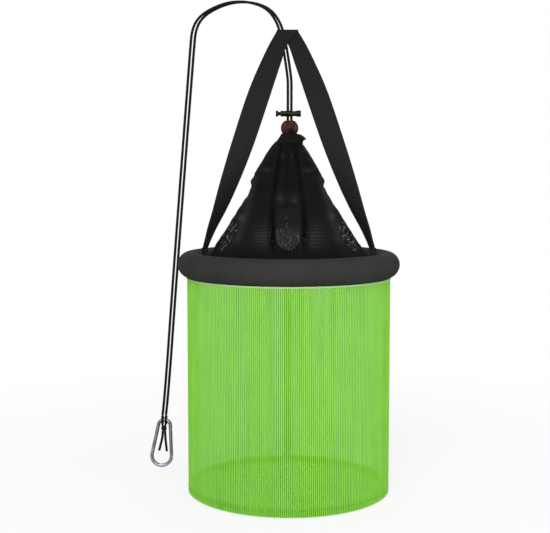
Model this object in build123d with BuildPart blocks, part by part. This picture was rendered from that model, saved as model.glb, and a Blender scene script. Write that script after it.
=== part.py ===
from build123d import *
from math import asin, cos, degrees, pi, radians, sin, sqrt, tan
import os

# Collapsible keep net, in millimetres. The origin is the centre of the float ring, +Z is up
# towards the handle, +X to the right and -Y towards the person in front of the net.

# Clearances
soft_gap = 0.3           # between soft pieces, and between cloth and what carries it
running_gap = 0.1        # between small metal pieces that move on each other
slot_gap = 0.15          # between a cord and the edge of a hole or slot

# Share of a run that each arc of a cord's route takes
arc_share = 0.45

# Float ring and the wire hoop in its core
float_radius = 118.0     # ring's centre line
float_section = 30.0     # foam tube, across
hoop_wire = 5.0
ferrule_wall = 0.8
ferrule_length = 30.0

# Cloth sleeve inside the float, which carries the handle and the cover
sleeve_cloth = 1.2
sleeve_rise = 24.0       # degrees that it reaches above the ring's mid-plane
sleeve_end_gap = 2.1     # degrees past the lowest point of the float

# Net wall
wall_offset = 4.0        # the wall hangs this much outside the float's centre line
wall_cloth = 1.2
net_depth = 271.0        # float centre line down to the bottom hoop's centre line
seam_width = 10.0
seam_cloth = 0.8
tape_cloth = 0.8         # edge tape round the wall's top
tape_height = 2.4

# Base, inside the foot of the wall
binding_cloth = 0.8
binding_corner = 2.0
base_cloth = 1.2

# Handle, one length of webbing folded over a straight crease
webbing_width = 26.0
webbing = 1.8            # thickness
crease_share = 0.973     # width at the crease, as a share of the webbing's
handle_top = 277.6
layer_gap = 0.3          # between the two layers under the crease
legs_part = 0.2          # share of the way out where the legs no longer overlap
hinge_height = 20.0
strap_shift = -1.6       # the crease sits a little to the left
tab_under = 10.5         # how far the anchor tab reaches under the strap's round foot
tab_cloth = 1.8
# shares of the height, of the way out and of the webbing's width, and twist in degrees
strap_stations = (
    (0.000, 1.000, 1.00, 90.0),
    (0.090, 0.938, 1.02, 71.0),
    (0.173, 0.846, 1.03, 57.0),
    (0.314, 0.707, 1.03, 35.0),
    (0.500, 0.537, 1.05, 12.0),
    (0.684, 0.375, 1.05, 4.0),
    (0.776, 0.288, 1.00, 0.0),
    (0.858, 0.203, 0.91, 0.0),
    (0.931, 0.124, 0.80, 0.0),
    (0.967, 0.068, 0.85, 0.0),
    (1.000, 0.000, crease_share, 0.0),
)

# Cover, a cloth funnel with eight main folds
cover_cloth = 1.0
cover_foot = 6.0         # height of the funnel's foot
cover_top = 146.0        # height of the funnel's drawn end
cover_top_radius = 14.5
cover_inset = 1.0        # funnel's foot inside the strap ends
skirt_drop = 9.0
skirt_turn = 47.0        # degrees round the float, under its mid-plane, where the skirt ends
# share of the height, share of the radius and depth of the folds
cover_stations = (
    (0.000, 1.000, 0.0),
    (0.125, 0.860, 3.0),
    (0.264, 0.703, 6.0),
    (0.400, 0.564, 7.5),
    (0.536, 0.416, 7.5),
    (0.607, 0.356, 7.0),
    (0.671, 0.342, 6.5),
    (0.807, 0.226, 5.5),
    (0.943, 0.079, 3.5),
    (1.000, 0.000, 2.5),
)
fold_angles = (26.0, 68.0, 112.0, 154.0, 206.0, 250.0, 288.0, 334.0)

# Drawstring hem at the mouth of the cover
hem_height = 6.2
hem_flare = 0.53         # share of the height at which the loose flap stands out most
hem_middle_radius = 12.8
hem_top_radius = 9.6
flap_reach = 18.0        # flap on the right, from the hem's middle
flap_top_reach = 12.5
hem_fold = 1.6

# Drawstring, two strands side by side
cord = 3.0               # diameter
strand_pitch = 4.2
strand_lay = 3.4         # one strand lies behind the other over the arch
mouth_x = 1.0            # the mouth is drawn up a little to the right
loop_radius = 4.2
loop_drop = 5.2          # loop's centre under the hem's top
# middle of the two strands from the cord lock to the hook, with the share of the lay
cord_route = (
    (1.0, 0.0, 226.0, 0.0),
    (-2.4, 3.8, 245.0, 0.6),
    (-6.6, 6.0, 265.5, 1.0),
    (-11.4, 6.2, 286.0, 1.0),
    (-23.0, 6.2, 303.4, 1.0),
    (-43.0, 6.2, 310.2, 1.0),
    (-65.5, 6.2, 310.9, 1.0),
    (-86.0, 6.2, 304.5, 1.0),
    (-103.6, 6.2, 293.6, 1.0),
    (-112.2, 6.2, 278.5, 1.0),
    (-115.0, 6.2, 255.0, 0.8),
    (-137.0, 6.0, -5.0, 0.3),
)

# Bead
bead_width = 21.2
bead_height = 18.4
bead_end = 10.4          # flat at each end, across
bead_hole = 8.2

# Cord lock: barrel, plunger and spring
lock_gap = 4.3           # between the bead and the lock
lock_right = 14.5        # barrel's closed end, from the net's axis
lock_left = 9.7          # barrel's open end
lock_head = 7.6          # across the flared end and the collar
lock_edge = 0.5
collar_width = 1.8
flare_width = 4.9
lock_body = 7.1
lock_waist = 6.0
lock_bore = 4.4
lock_end_wall = 2.5
button_width = 7.2
button_thick = 3.0
plunger_stem = 4.2
plunger_travel = 2.5
stem_tip = 2.0           # solid metal past the slot
spring_wire = 0.5
spring_turns = 4
spring_play = 0.1

# Snap hook
hook_x = -152.0
hook_y = 6.0
hook_drop = 187.6        # top of the hook's wire under the last bend of the cords
bow_radius = 7.3         # small end, to the middle of the wire
belly_radius = 12.0      # large end
bow_distance = 37.8      # between the centres of the two ends
hook_lean = 5.5          # degrees, large end to the left
hook_wire = 4.4
nose_length = 4.0
tongue = 1.6             # flattened wire at the pin
tongue_bury = 1.3        # how far the tongue reaches into the round wire
fork_gap = 0.2
fork_end_gap = 0.8       # between the tongue and the fork's root
tip_gap = 0.4
pin_diameter = 1.6
pin_head = 0.2           # pin stands proud of the gate on each side
gate_wire = 4.2
gate_edge = 0.5
gate_bore = 1.8
gate_bore_depth = 9.0
gate_spring_wire = 0.25
gate_spring_turns = 8
gate_web = 1.0           # solid metal between the fork and the bore

# Cord ends at the hook
wrap_gap = 0.8           # play of the wraps round the curved wire
knot_width = 6.8
knot_wraps = 3
knot_height = 7.0
knot_groove = 0.8
# tails from the bottom of the knot, across and up
tail_left = ((-1.7, 0.0), (-1.8, -9.0), (-6.0, -23.5))
tail_right = ((1.7, 0.0), (1.8, -10.0), (3.3, -24.5))

os.makedirs("parts", exist_ok=True)


def save(piece, label):
    piece.part.label = label
    export_step(piece.part, f"parts/{label}.step")


def at_angle(radius, angle):
    return (radius * cos(radians(angle)), radius * sin(radians(angle)))


# Sizes that follow from the ones above
float_r = float_section / 2
hoop_r = hoop_wire / 2
ferrule_r = hoop_r + running_gap + ferrule_wall
channel_r = ferrule_r + running_gap
wall_radius = float_radius + wall_offset
sleeve_inside = float_r + soft_gap
sleeve_outside = sleeve_inside + sleeve_cloth
tape_top = -(float_r + soft_gap)
tape_half = wall_cloth / 2 + soft_gap / 2 + tape_cloth
wall_top = tape_top - tape_cloth - soft_gap
binding_r = channel_r + binding_cloth
wall_bottom = -net_depth - binding_r + soft_gap
base_radius = wall_radius - wall_cloth / 2 - soft_gap - binding_r
base_foot = -net_depth - binding_r + binding_corner
tab_outside = float_radius - sleeve_outside - soft_gap
tab_face = tab_outside - tab_cloth
strap_x = tab_face - soft_gap - webbing / 2
strap_half = webbing_width / 2
tab_bottom = hinge_height - strap_half - tab_under
crease_width = crease_share * webbing_width
crease_r = webbing + layer_gap / 2
crease_height = handle_top - crease_r
cover_foot_radius = strap_x - webbing / 2 - cover_inset
hem_top = cover_top + hem_height
cord_r = cord / 2
strand_half = strand_pitch / 2
bead_base = hem_top + soft_gap
bead_top = bead_base + bead_height
lock_r = lock_head / 2
lock_height = bead_top + lock_gap + lock_r

# Float ring, a foam tube slit over its hoop
with BuildPart() as float_ring:
    Torus(float_radius, float_r)
    Torus(float_radius, channel_r, mode=Mode.SUBTRACT)
save(float_ring, "float_ring")


def hoop(radius, height):
    with BuildPart() as ring:
        with Locations((0, 0, height)):
            Torus(radius, hoop_r)
    return ring


def ferrule(radius, height):
    turn = degrees(ferrule_length / radius)
    with BuildPart() as sleeve:
        with BuildSketch(Plane.XZ):
            with Locations((radius, height)):
                Circle(ferrule_r)
                Circle(hoop_r + running_gap, mode=Mode.SUBTRACT)
        revolve(axis=Axis.Z, revolution_arc=turn)
    return sleeve


save(hoop(float_radius, 0), "top_hoop")
save(ferrule(float_radius, 0), "top_hoop_ferrule")
save(hoop(base_radius, -net_depth), "bottom_hoop")
save(ferrule(base_radius, -net_depth), "bottom_hoop_ferrule")

# Cloth sleeve round the inner and lower side of the float
sleeve_start = 180 - sleeve_rise
sleeve_turn = 90 + sleeve_end_gap + sleeve_rise
with BuildPart() as float_sleeve:
    with BuildSketch(Plane.XZ):
        with BuildLine():
            outer = CenterArc((float_radius, 0), sleeve_outside, sleeve_start, sleeve_turn)
            inner = CenterArc((float_radius, 0), sleeve_inside, sleeve_start, sleeve_turn)
            Line(outer @ 0, inner @ 0)
            Line(outer @ 1, inner @ 1)
        make_face()
    revolve(axis=Axis.Z)
save(float_sleeve, "float_sleeve")

# Edge tape folded over the top of the wall
with BuildPart() as top_tape:
    with BuildSketch(Plane.XZ):
        with Locations((wall_radius, tape_top - tape_height / 2)):
            Rectangle(2 * tape_half, tape_height)
        with Locations((wall_radius, tape_top - tape_cloth - tape_height / 2)):
            Rectangle(wall_cloth + soft_gap, tape_height, mode=Mode.SUBTRACT)
    revolve(axis=Axis.Z)
save(top_tape, "top_tape")

# Net wall and the tape over its seam at the back
with BuildPart() as mesh_wall:
    with BuildSketch(Plane.XY.offset(wall_bottom)):
        Circle(wall_radius + wall_cloth / 2)
        Circle(wall_radius - wall_cloth / 2, mode=Mode.SUBTRACT)
    extrude(amount=wall_top - wall_bottom)
save(mesh_wall, "mesh_wall")

seam_inside = wall_radius + wall_cloth / 2 + soft_gap
seam_turn = degrees(seam_width / seam_inside)
seam_top = tape_top - tape_height - soft_gap
with BuildPart() as wall_seam_tape:
    with BuildSketch(Plane.XZ):
        with Locations((seam_inside + seam_cloth / 2, (seam_top + wall_bottom) / 2)):
            Rectangle(seam_cloth, seam_top - wall_bottom)
    revolve(axis=Axis.Z, revolution_arc=seam_turn)
wall_seam_tape.part = wall_seam_tape.part.rotate(Axis.Z, 90 - seam_turn / 2)
save(wall_seam_tape, "wall_seam_tape")

# Base: a folded tape round the hoop, inside the foot of the wall, and a flat net inside the tape
with BuildPart() as bottom_binding:
    with BuildSketch(Plane.XZ):
        with Locations((base_radius, -net_depth)):
            RectangleRounded(2 * binding_r, 2 * binding_r, binding_corner)
            Circle(channel_r, mode=Mode.SUBTRACT)
    revolve(axis=Axis.Z)
save(bottom_binding, "bottom_binding")

with BuildPart() as base_mesh:
    with BuildSketch(Plane.XY.offset(base_foot)):
        Circle(base_radius - binding_r - soft_gap)
    extrude(amount=base_cloth)
save(base_mesh, "base_mesh")


def anchor_tab(side):
    with BuildPart() as tab:
        with BuildSketch(Plane.XY.offset(tab_bottom)):
            Circle(tab_outside)
            with Locations((side * (tab_face + tab_cloth), 0)):
                Rectangle(2 * tab_cloth, webbing_width, mode=Mode.INTERSECT)
        extrude(amount=hinge_height - tab_bottom)
    return tab


save(anchor_tab(-1), "strap_anchor_left")
save(anchor_tab(1), "strap_anchor_right")


def strap_centre(side, out):
    return side * strap_x * out + strap_shift * (1 - out)


def strap_leg(side):
    """A leg that twists from edge-on at the float to flat at the crease, with a round foot."""
    with BuildPart() as leg:
        for up, out, width, twist in strap_stations:
            height = hinge_height + up * (crease_height - hinge_height)
            layer = side * (webbing + layer_gap) / 2 * max(0, 1 - out / legs_part)
            with BuildSketch(Plane.XY.offset(height)):
                with Locations((strap_centre(side, out), layer)):
                    Rectangle(width * webbing_width, webbing, rotation=-side * twist)
        loft(ruled=True)
        with BuildSketch(Plane.YZ.offset(side * strap_x - webbing / 2)):
            with BuildLine():
                ends = ((-strap_half, hinge_height), (strap_half, hinge_height))
                ThreePointArc(ends[0], (0, hinge_height - strap_half), ends[1])
                Line(*ends)
            make_face()
        extrude(amount=webbing)
    return leg.part


# Handle: two legs and the crease that joins them
strap_legs = [strap_leg(-1), strap_leg(1)]
with BuildPart() as handle_strap:
    add(strap_legs)
    with BuildSketch(Plane.YZ.offset(strap_shift - crease_width / 2)):
        with BuildLine():
            bend = CenterArc((0, crease_height), crease_r, 0, 180)
            core = CenterArc((0, crease_height), layer_gap / 2, 0, 180)
            Line(bend @ 0, core @ 0)
            Line(bend @ 1, core @ 1)
        make_face()
    extrude(amount=crease_width)
save(handle_strap, "handle_strap")


def folded_outline(crests, fold):
    """A closed outline of arcs that bulge between the folds of the cloth."""
    with BuildLine() as outline:
        for n, start in enumerate(fold_angles):
            end = fold_angles[(n + 1) % len(fold_angles)]
            end += 360 if end < start else 0
            crest = crests[n]
            inward = min(crests[n - 1], crest) - fold
            outward = min(crest, crests[(n + 1) % len(crests)]) - fold
            ThreePointArc(
                at_angle(inward, start),
                at_angle(crest, (start + end) / 2),
                at_angle(outward, end),
            )
    return outline.line


def cover_shell(inset):
    """The funnel's outside, or its inside where an inset is given."""
    with BuildPart() as shell:
        for up, out, fold in cover_stations:
            height = cover_foot + up * (cover_top - cover_foot)
            radius = cover_top_radius + out * (cover_foot_radius - cover_top_radius)
            outline = folded_outline([radius - inset] * len(fold_angles), fold)
            with BuildSketch(Plane.XY.offset(height)):
                add(outline)
                make_face()
        loft(ruled=True)
    return shell.part


# Cover: folded funnel, and below it a skirt that turns out under the anchor tabs
skirt_out, skirt_down = at_angle(sleeve_outside + soft_gap, skirt_turn)
skirt_end = float_radius - skirt_out
funnel = cover_shell(0)
funnel_inside = cover_shell(cover_cloth)
with BuildPart() as cover:
    add(funnel)
    add(funnel_inside, mode=Mode.SUBTRACT)
    with BuildSketch(Plane.XZ):
        with BuildLine():
            Polyline(
                (cover_foot_radius, cover_foot),
                (cover_foot_radius, cover_foot - skirt_drop),
                (skirt_end, -skirt_down),
                (skirt_end - cover_cloth, -skirt_down - cover_cloth),
                (cover_foot_radius - cover_cloth, cover_foot - skirt_drop - cover_cloth / 2),
                (cover_foot_radius - cover_cloth, cover_foot),
                close=True,
            )
        make_face()
    revolve(axis=Axis.Z)
save(cover, "cover")

# Hem: the gathered mouth, with a loose flap on the right
loop_height = hem_top - loop_drop
loop_y = sqrt(loop_radius**2 - strand_half**2)
flap = len(fold_angles) - 1
hem_stations = []
for up, radius, reach in (
    (0, cover_top_radius, cover_top_radius),
    (hem_flare, hem_middle_radius, flap_reach),
    (1, hem_top_radius, flap_top_reach),
):
    crests = [radius] * len(fold_angles)
    crests[flap] = reach
    hem_stations.append((cover_top + up * hem_height, folded_outline(crests, hem_fold)))
with BuildPart() as cover_hem:
    for height, outline in hem_stations:
        with BuildSketch(Plane.XY.offset(height)):
            add(outline)
            make_face()
    loft(ruled=True)
    with Locations((mouth_x, loop_y, loop_height)):
        Torus(loop_radius, cord_r + soft_gap, mode=Mode.SUBTRACT)
    for side in (-1, 1):
        with BuildSketch(Plane.XY.offset(loop_height)):
            with Locations((mouth_x + side * strand_half, 0)):
                Circle(cord_r + soft_gap + slot_gap)
        extrude(amount=hem_top - loop_height, mode=Mode.SUBTRACT)
save(cover_hem, "cover_hem")

with BuildPart() as drawstring_loop:
    with Locations((mouth_x, loop_y, loop_height)):
        Torus(loop_radius, cord_r)
save(drawstring_loop, "drawstring_loop")

# Snap hook's place: its small end hangs in the wraps at the end of the cords
wire_r = hook_wire / 2
wrap_r = wire_r + wrap_gap + cord_r
wrap_reach = wrap_r + cord_r
hook_height = cord_route[-1][2] - hook_drop
cord_start = (mouth_x, 0.0, loop_height + cord_r + soft_gap, 0.0)
cord_end = (hook_x, hook_y, hook_height + wrap_reach + soft_gap, 0.0)


def tube(points, diameter):
    """A tube along the points, with arcs as large as its runs allow, and what it measures."""
    points = [Vector(*p) for p in points]
    runs = [b - a for a, b in zip(points, points[1:])]
    radii = [
        arc_share * min(a.length, b.length) / tan(radians(a.get_angle(b)) / 2)
        for a, b in zip(runs, runs[1:])
    ]
    with BuildPart() as swept:
        with BuildLine():
            path = FilletPolyline(*points, radius=radii)
        with BuildSketch(Plane(origin=points[0], z_dir=runs[0])):
            Circle(diameter / 2)
        sweep(path=path)
    share = swept.part.volume / (pi * diameter**2 / 4 * path.length)
    print(f"  length {path.length:.1f}, volume {share:.4f} of section times length")
    print("  radii", " ".join(f"{r:.0f}" for r in radii))
    return swept


def strand(side):
    return [
        (x + side * strand_half, y + side * lay * strand_lay / 2, z)
        for x, y, z, lay in (cord_start, *cord_route, cord_end)
    ]


for name, side in (("cord_left", -1), ("cord_right", 1)):
    print(name)
    save(tube(strand(side), cord), name)

# Bead, turned about the line between the strands
with BuildPart() as bead:
    with BuildSketch(Plane.XZ):
        with BuildLine():
            bottom = (mouth_x + bead_end / 2, bead_base)
            top = (mouth_x + bead_end / 2, bead_top)
            widest = (mouth_x + bead_width / 2, (bead_base + bead_top) / 2)
            ThreePointArc(bottom, widest, top)
            hole = mouth_x + bead_hole / 2
            Polyline(top, (hole, bead_top), (hole, bead_base), bottom)
        make_face()
    revolve(axis=Axis((mouth_x, 0, 0), (0, 0, 1)))
save(bead, "bead")

# Cord lock's barrel, turned about a line along X
strands = (mouth_x - strand_half, mouth_x + strand_half)
bore_end = lock_right - lock_end_wall
lock_plane = Plane(origin=(0, 0, lock_height), x_dir=(1, 0, 0), z_dir=(0, -1, 0))


def lock_section(x):
    return Plane(origin=(x, 0, lock_height), x_dir=(0, 1, 0), z_dir=(1, 0, 0))


with BuildPart() as toggle_barrel:
    with BuildSketch(lock_plane):
        with BuildLine():
            Polyline(
                (-lock_left, 0),
                (-lock_left, lock_r - lock_edge),
                (-lock_left + lock_edge, lock_r),
                (-lock_left + collar_width, lock_r),
                (-lock_left + collar_width + lock_edge, lock_body / 2 - lock_edge / 2),
                (strands[0] - cord_r, lock_body / 2),
                (strands[1] - cord_r, lock_body / 2),
                (strands[1] + cord_r, lock_waist / 2),
                (lock_right - flare_width - lock_edge, lock_body / 2 - lock_edge / 2),
                (lock_right - flare_width, lock_r),
                (lock_right - lock_edge, lock_r),
                (lock_right, lock_r - lock_edge),
                (lock_right, 0),
                close=True,
            )
        make_face()
    revolve(axis=Axis((0, 0, lock_height), (1, 0, 0)))
    with BuildSketch(lock_section(-lock_left)):
        Circle(lock_bore / 2)
    extrude(amount=lock_left + bore_end, mode=Mode.SUBTRACT)
    with BuildSketch(Plane.XY.offset(lock_height - lock_r)):
        with Locations(*((x, 0) for x in strands)):
            Circle(cord_r + slot_gap)
    extrude(amount=lock_head, mode=Mode.SUBTRACT)
save(toggle_barrel, "toggle_barrel")

# Plunger: a button on a stem whose slot lets the strands through
slot_left = strands[0] - cord_r - slot_gap - plunger_travel
slot_right = strands[1] + cord_r + slot_gap
stem_end = slot_right + stem_tip
button_face = -lock_left - plunger_travel - soft_gap
with BuildPart() as toggle_plunger:
    with BuildSketch(lock_section(button_face - button_thick)):
        Circle(button_width / 2)
    extrude(amount=button_thick)
    chamfer(toggle_plunger.edges().filter_by(GeomType.CIRCLE), lock_edge)
    with BuildSketch(lock_section(button_face)):
        Circle(plunger_stem / 2)
    extrude(amount=stem_end - button_face)
    with BuildSketch(Plane.XY.offset(lock_height - lock_r)):
        with Locations(((slot_left + slot_right) / 2, 0)):
            Rectangle(slot_right - slot_left, 2 * cord_r + 2 * slot_gap)
    extrude(amount=lock_head, mode=Mode.SUBTRACT)
save(toggle_plunger, "toggle_plunger")


def spring(plane, length, radius, wire, turns):
    """A coil spring that stands on the plane."""
    rise = length - wire
    with BuildPart() as wound:
        with BuildLine():
            path = Helix(rise / turns, rise, radius, center=(0, 0, wire / 2))
        with BuildSketch(Plane(origin=path @ 0, z_dir=path % 0)):
            Circle(wire / 2)
        sweep(path=path, is_frenet=True)
    points = [path @ (n / (turns * 24)) for n in range(turns * 24 + 1)]
    apart = min((b - a).length for n, a in enumerate(points) for b in points[n + 12 :])
    print(f"  least gap between turns {apart - wire:.2f}")
    wound.part = plane.location * wound.part
    return wound


print("toggle_spring")
spring_radius = lock_bore / 2 - spring_wire / 2 - 2 * running_gap
spring_length = bore_end - stem_end - 2 * spring_play
toggle_spring = spring(
    lock_section(stem_end + spring_play), spring_length, spring_radius, spring_wire, spring_turns
)
save(toggle_spring, "toggle_spring")

# Snap hook, drawn in its own plane: across to the right, and up from its large end's centre
lean = radians(hook_lean)
slope = asin((belly_radius - bow_radius) / bow_distance)
side_length = bow_distance * cos(slope)
hook_plane = Plane(
    origin=(
        hook_x - bow_distance * sin(lean),
        hook_y,
        hook_height - bow_radius - bow_distance * cos(lean),
    ),
    x_dir=(cos(lean), 0, -sin(lean)),
    z_dir=(0, -1, 0),
)
slope_angle = degrees(slope)
pivot = at_angle(belly_radius, slope_angle)
up_side = (-sin(slope), cos(slope))
tongue_turn = degrees((wire_r + tip_gap) / belly_radius)


def up_from_pivot(distance):
    return (pivot[0] + distance * up_side[0], pivot[1] + distance * up_side[1])


tongue_arc_turn = tongue_turn + degrees(tongue_bury / belly_radius)
tongue_arc = CenterArc((0, 0), belly_radius, slope_angle, -tongue_arc_turn)
with BuildPart() as hook_frame:
    with BuildLine(hook_plane) as path:
        bow = (0, bow_distance)
        Line(up_from_pivot(side_length - nose_length), up_from_pivot(side_length))
        CenterArc(bow, bow_radius, slope_angle, 180 - 2 * slope_angle)
        left_top = (-bow_radius * cos(slope), bow_distance + bow_radius * sin(slope))
        Line(left_top, at_angle(belly_radius, 180 - slope_angle))
        belly_turn = 180 + 2 * slope_angle - tongue_turn
        CenterArc((0, 0), belly_radius, 180 - slope_angle, belly_turn)
    nose_end = hook_plane.from_local_coords(up_from_pivot(side_length - nose_length))
    side_dir = hook_plane.from_local_coords(up_side) - hook_plane.origin
    with BuildSketch(Plane(origin=nose_end, z_dir=side_dir)):
        Circle(wire_r)
    sweep(path=path.wires()[0])
    with BuildSketch(hook_plane.offset(-tongue / 2)):
        SlotArc(tongue_arc, hook_wire - 2 * fork_gap)
        with Locations(pivot):
            Circle(pin_diameter / 2 + running_gap / 2, mode=Mode.SUBTRACT)
    extrude(amount=tongue)
save(hook_frame, "hook_frame")

# Gate, forked over the frame's tongue and bored for its spring
gate_r = gate_wire / 2
gate_length = side_length - nose_length - tip_gap
fork_top = wire_r + fork_end_gap
gate_origin = hook_plane.from_local_coords(pivot)
gate_plane = Plane(origin=gate_origin, x_dir=(0, 1, 0), z_dir=side_dir)
with BuildPart() as hook_gate:
    with BuildSketch(gate_plane):
        Circle(gate_r)
    extrude(amount=gate_length)
    chamfer(hook_gate.faces().sort_by(Axis.Z)[-1].edges(), gate_edge)
    with BuildSketch(hook_plane.offset(-gate_r + running_gap)):
        with Locations(pivot):
            Circle(wire_r)
    extrude(amount=gate_wire - 2 * running_gap)
    with BuildSketch(hook_plane.offset(-tongue / 2 - fork_gap)):
        with Locations(pivot):
            Circle(fork_top)
    extrude(amount=tongue + 2 * fork_gap, mode=Mode.SUBTRACT)
    with BuildSketch(hook_plane.offset(-gate_r)):
        with Locations(pivot):
            Circle(pin_diameter / 2 + running_gap / 2)
    extrude(amount=gate_wire, mode=Mode.SUBTRACT)
    with BuildSketch(gate_plane.offset(fork_top + gate_web)):
        Circle(gate_bore / 2)
    extrude(amount=gate_bore_depth, mode=Mode.SUBTRACT)
save(hook_gate, "hook_gate")

print("gate_spring")
gate_spring = spring(
    gate_plane.offset(fork_top + gate_web + spring_play),
    gate_bore_depth - 2 * spring_play,
    gate_bore / 2 - gate_spring_wire / 2 - running_gap,
    gate_spring_wire,
    gate_spring_turns,
)
save(gate_spring, "gate_spring")

with BuildPart() as gate_pin:
    with BuildSketch(hook_plane.offset(-gate_r - pin_head)):
        with Locations(pivot):
            Circle(pin_diameter / 2)
    extrude(amount=gate_wire + 2 * pin_head)
save(gate_pin, "gate_pin")

# Wraps of the strands' ends round the hook's wire, the knot under them and its tails
with BuildPart() as cord_wraps:
    for side in (-1, 1):
        centre = (hook_x + side * strand_half, hook_y, hook_height)
        with Locations(Plane(origin=centre, z_dir=(1, 0, 0))):
            Torus(wrap_r, cord_r)
save(cord_wraps, "cord_wraps")

knot_top = hook_height - wrap_reach + soft_gap / 2
knot_y = hook_y - gate_r - soft_gap - knot_width / 2
wrap_height = knot_height / knot_wraps
with BuildPart() as cord_knot:
    with BuildSketch(Plane(origin=(hook_x, knot_y, knot_top), x_dir=(1, 0, 0), z_dir=(0, -1, 0))):
        with BuildLine():
            waist = knot_width / 2 - knot_groove
            for n in range(knot_wraps):
                above, below = (waist, -n * wrap_height), (waist, -(n + 1) * wrap_height)
                ThreePointArc(above, (knot_width / 2, -(n + 0.5) * wrap_height), below)
            Polyline((waist, -knot_height), (0, -knot_height), (0, 0), (waist, 0))
        make_face()
    revolve(axis=Axis((hook_x, knot_y, 0), (0, 0, 1)))
save(cord_knot, "cord_knot")

tail_top = knot_top - knot_height - soft_gap
for name, route in (("cord_tail_left", tail_left), ("cord_tail_right", tail_right)):
    print(name)
    save(tube([(hook_x + x, knot_y, tail_top + z) for x, z in route], cord), name)
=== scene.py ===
from math import cos, exp, hypot, pi, radians, sin, sqrt

import bmesh
import bpy
from mathutils import Matrix, Vector, noise


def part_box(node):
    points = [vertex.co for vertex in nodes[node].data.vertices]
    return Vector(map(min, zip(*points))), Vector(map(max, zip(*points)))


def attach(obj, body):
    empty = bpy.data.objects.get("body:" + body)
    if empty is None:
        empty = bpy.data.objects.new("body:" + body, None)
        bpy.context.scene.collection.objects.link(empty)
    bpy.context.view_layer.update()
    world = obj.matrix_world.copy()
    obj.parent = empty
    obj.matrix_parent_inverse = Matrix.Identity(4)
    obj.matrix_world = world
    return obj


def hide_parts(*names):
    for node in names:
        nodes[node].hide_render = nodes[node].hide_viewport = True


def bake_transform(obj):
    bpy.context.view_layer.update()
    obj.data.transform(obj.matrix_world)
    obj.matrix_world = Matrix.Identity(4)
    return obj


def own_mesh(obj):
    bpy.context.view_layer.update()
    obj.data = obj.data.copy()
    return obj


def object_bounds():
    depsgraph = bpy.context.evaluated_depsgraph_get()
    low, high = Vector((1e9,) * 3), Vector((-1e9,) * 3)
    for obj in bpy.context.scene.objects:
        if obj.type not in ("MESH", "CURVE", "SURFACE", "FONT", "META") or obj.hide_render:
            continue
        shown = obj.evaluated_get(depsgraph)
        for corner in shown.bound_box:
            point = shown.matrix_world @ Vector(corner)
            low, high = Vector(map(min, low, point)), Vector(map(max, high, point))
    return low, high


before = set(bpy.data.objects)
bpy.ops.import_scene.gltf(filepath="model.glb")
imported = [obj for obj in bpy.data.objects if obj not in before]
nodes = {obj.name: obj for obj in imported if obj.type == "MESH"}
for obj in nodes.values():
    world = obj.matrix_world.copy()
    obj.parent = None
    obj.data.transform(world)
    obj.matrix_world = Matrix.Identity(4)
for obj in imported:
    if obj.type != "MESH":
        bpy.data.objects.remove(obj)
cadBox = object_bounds()
bpy.ops.object.select_all(action="DESELECT")
print("keep net: frame loaded")

mm = 0.001


# camera, at the photograph's angle

photoView = {
    "place": (-16.4 * mm, -1320 * mm, 113 * mm),
    "pitchDown": 5.05,
    "lens": 72,
}
bpy.ops.object.camera_add(
    location=photoView["place"],
    rotation=(radians(90 - photoView["pitchDown"]), 0, 0),
)
photoCamera = bpy.context.object
photoCamera.name = "photoCamera"
photoCamera.data.lens = photoView["lens"]
photoCamera.data.clip_end = 20
bpy.context.scene.camera = photoCamera
print("keep net: camera placed")


# small helpers for shapes

def smooth(t):
    t = min(1, max(0, t))
    return t * t * (3 - 2 * t)


def rise(value, start, run):
    # 0 up to start, 1 from a run further on
    return smooth((value - start) / run)


def fall(value, end, run):
    # 1 until a run before end, 0 from there on
    return smooth((end - value) / run)


def between(value, start, startRun, end, endRun):
    return rise(value, start, startRun) * fall(value, end, endRun)


def hill(distance, width):
    return exp(-((distance / width) ** 2))


def mound(across, up, wide, tall):
    return hill(across, wide) * hill(up, tall)


def onRing(turn, radius, height=0.0):
    return Vector((radius * cos(turn), radius * sin(turn), height))


def alongRows(rows, key):
    # a smooth curve through rows whose first value rises, read at key
    for n in range(len(rows) - 1):
        if key <= rows[n + 1][0] or n == len(rows) - 2:
            break
    before, start = rows[max(0, n - 1)], rows[n]
    end, after = rows[n + 1], rows[min(len(rows) - 1, n + 2)]
    span = end[0] - start[0]
    t = min(1, max(0, (key - start[0]) / span))
    values = []
    for i in range(1, len(start)):
        leaving = (end[i] - before[i]) / max(1e-6, end[0] - before[0]) * span
        arriving = (after[i] - start[i]) / max(1e-6, after[0] - start[0]) * span
        values.append(
            (2 * t**3 - 3 * t**2 + 1) * start[i]
            + (t**3 - 2 * t**2 + t) * leaving
            + (3 * t**2 - 2 * t**3) * end[i]
            + (t**3 - t**2) * arriving
        )
    return values if len(values) > 1 else values[0]


def selectNone():
    bpy.ops.object.select_all(action="DESELECT")


def selectOnly(piece):
    selectNone()
    bpy.context.view_layer.objects.active = piece
    piece.select_set(True)


def openEdit(piece):
    selectOnly(piece)
    bpy.ops.object.mode_set(mode="EDIT")
    bpy.ops.mesh.select_mode(type="VERT")
    bpy.ops.mesh.select_all(action="SELECT")


def closeEdit():
    bpy.ops.object.mode_set(mode="OBJECT")


def rename(piece, name):
    piece.name = name
    piece.data.name = name
    return piece


def applyModifier(piece, kind, **settings):
    selectOnly(piece)
    modifier = piece.modifiers.new(kind.lower(), kind)
    for key, value in settings.items():
        setattr(modifier, key, value)
    bpy.ops.object.modifier_apply(modifier=modifier.name)


def thicken(piece, thickness, offset=0):
    applyModifier(piece, "SOLIDIFY", thickness=thickness, offset=offset)


def roundEdges(piece, width, angle=60):
    applyModifier(
        piece, "BEVEL", width=width, segments=2, limit_method="ANGLE", angle_limit=radians(angle),
    )


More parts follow.
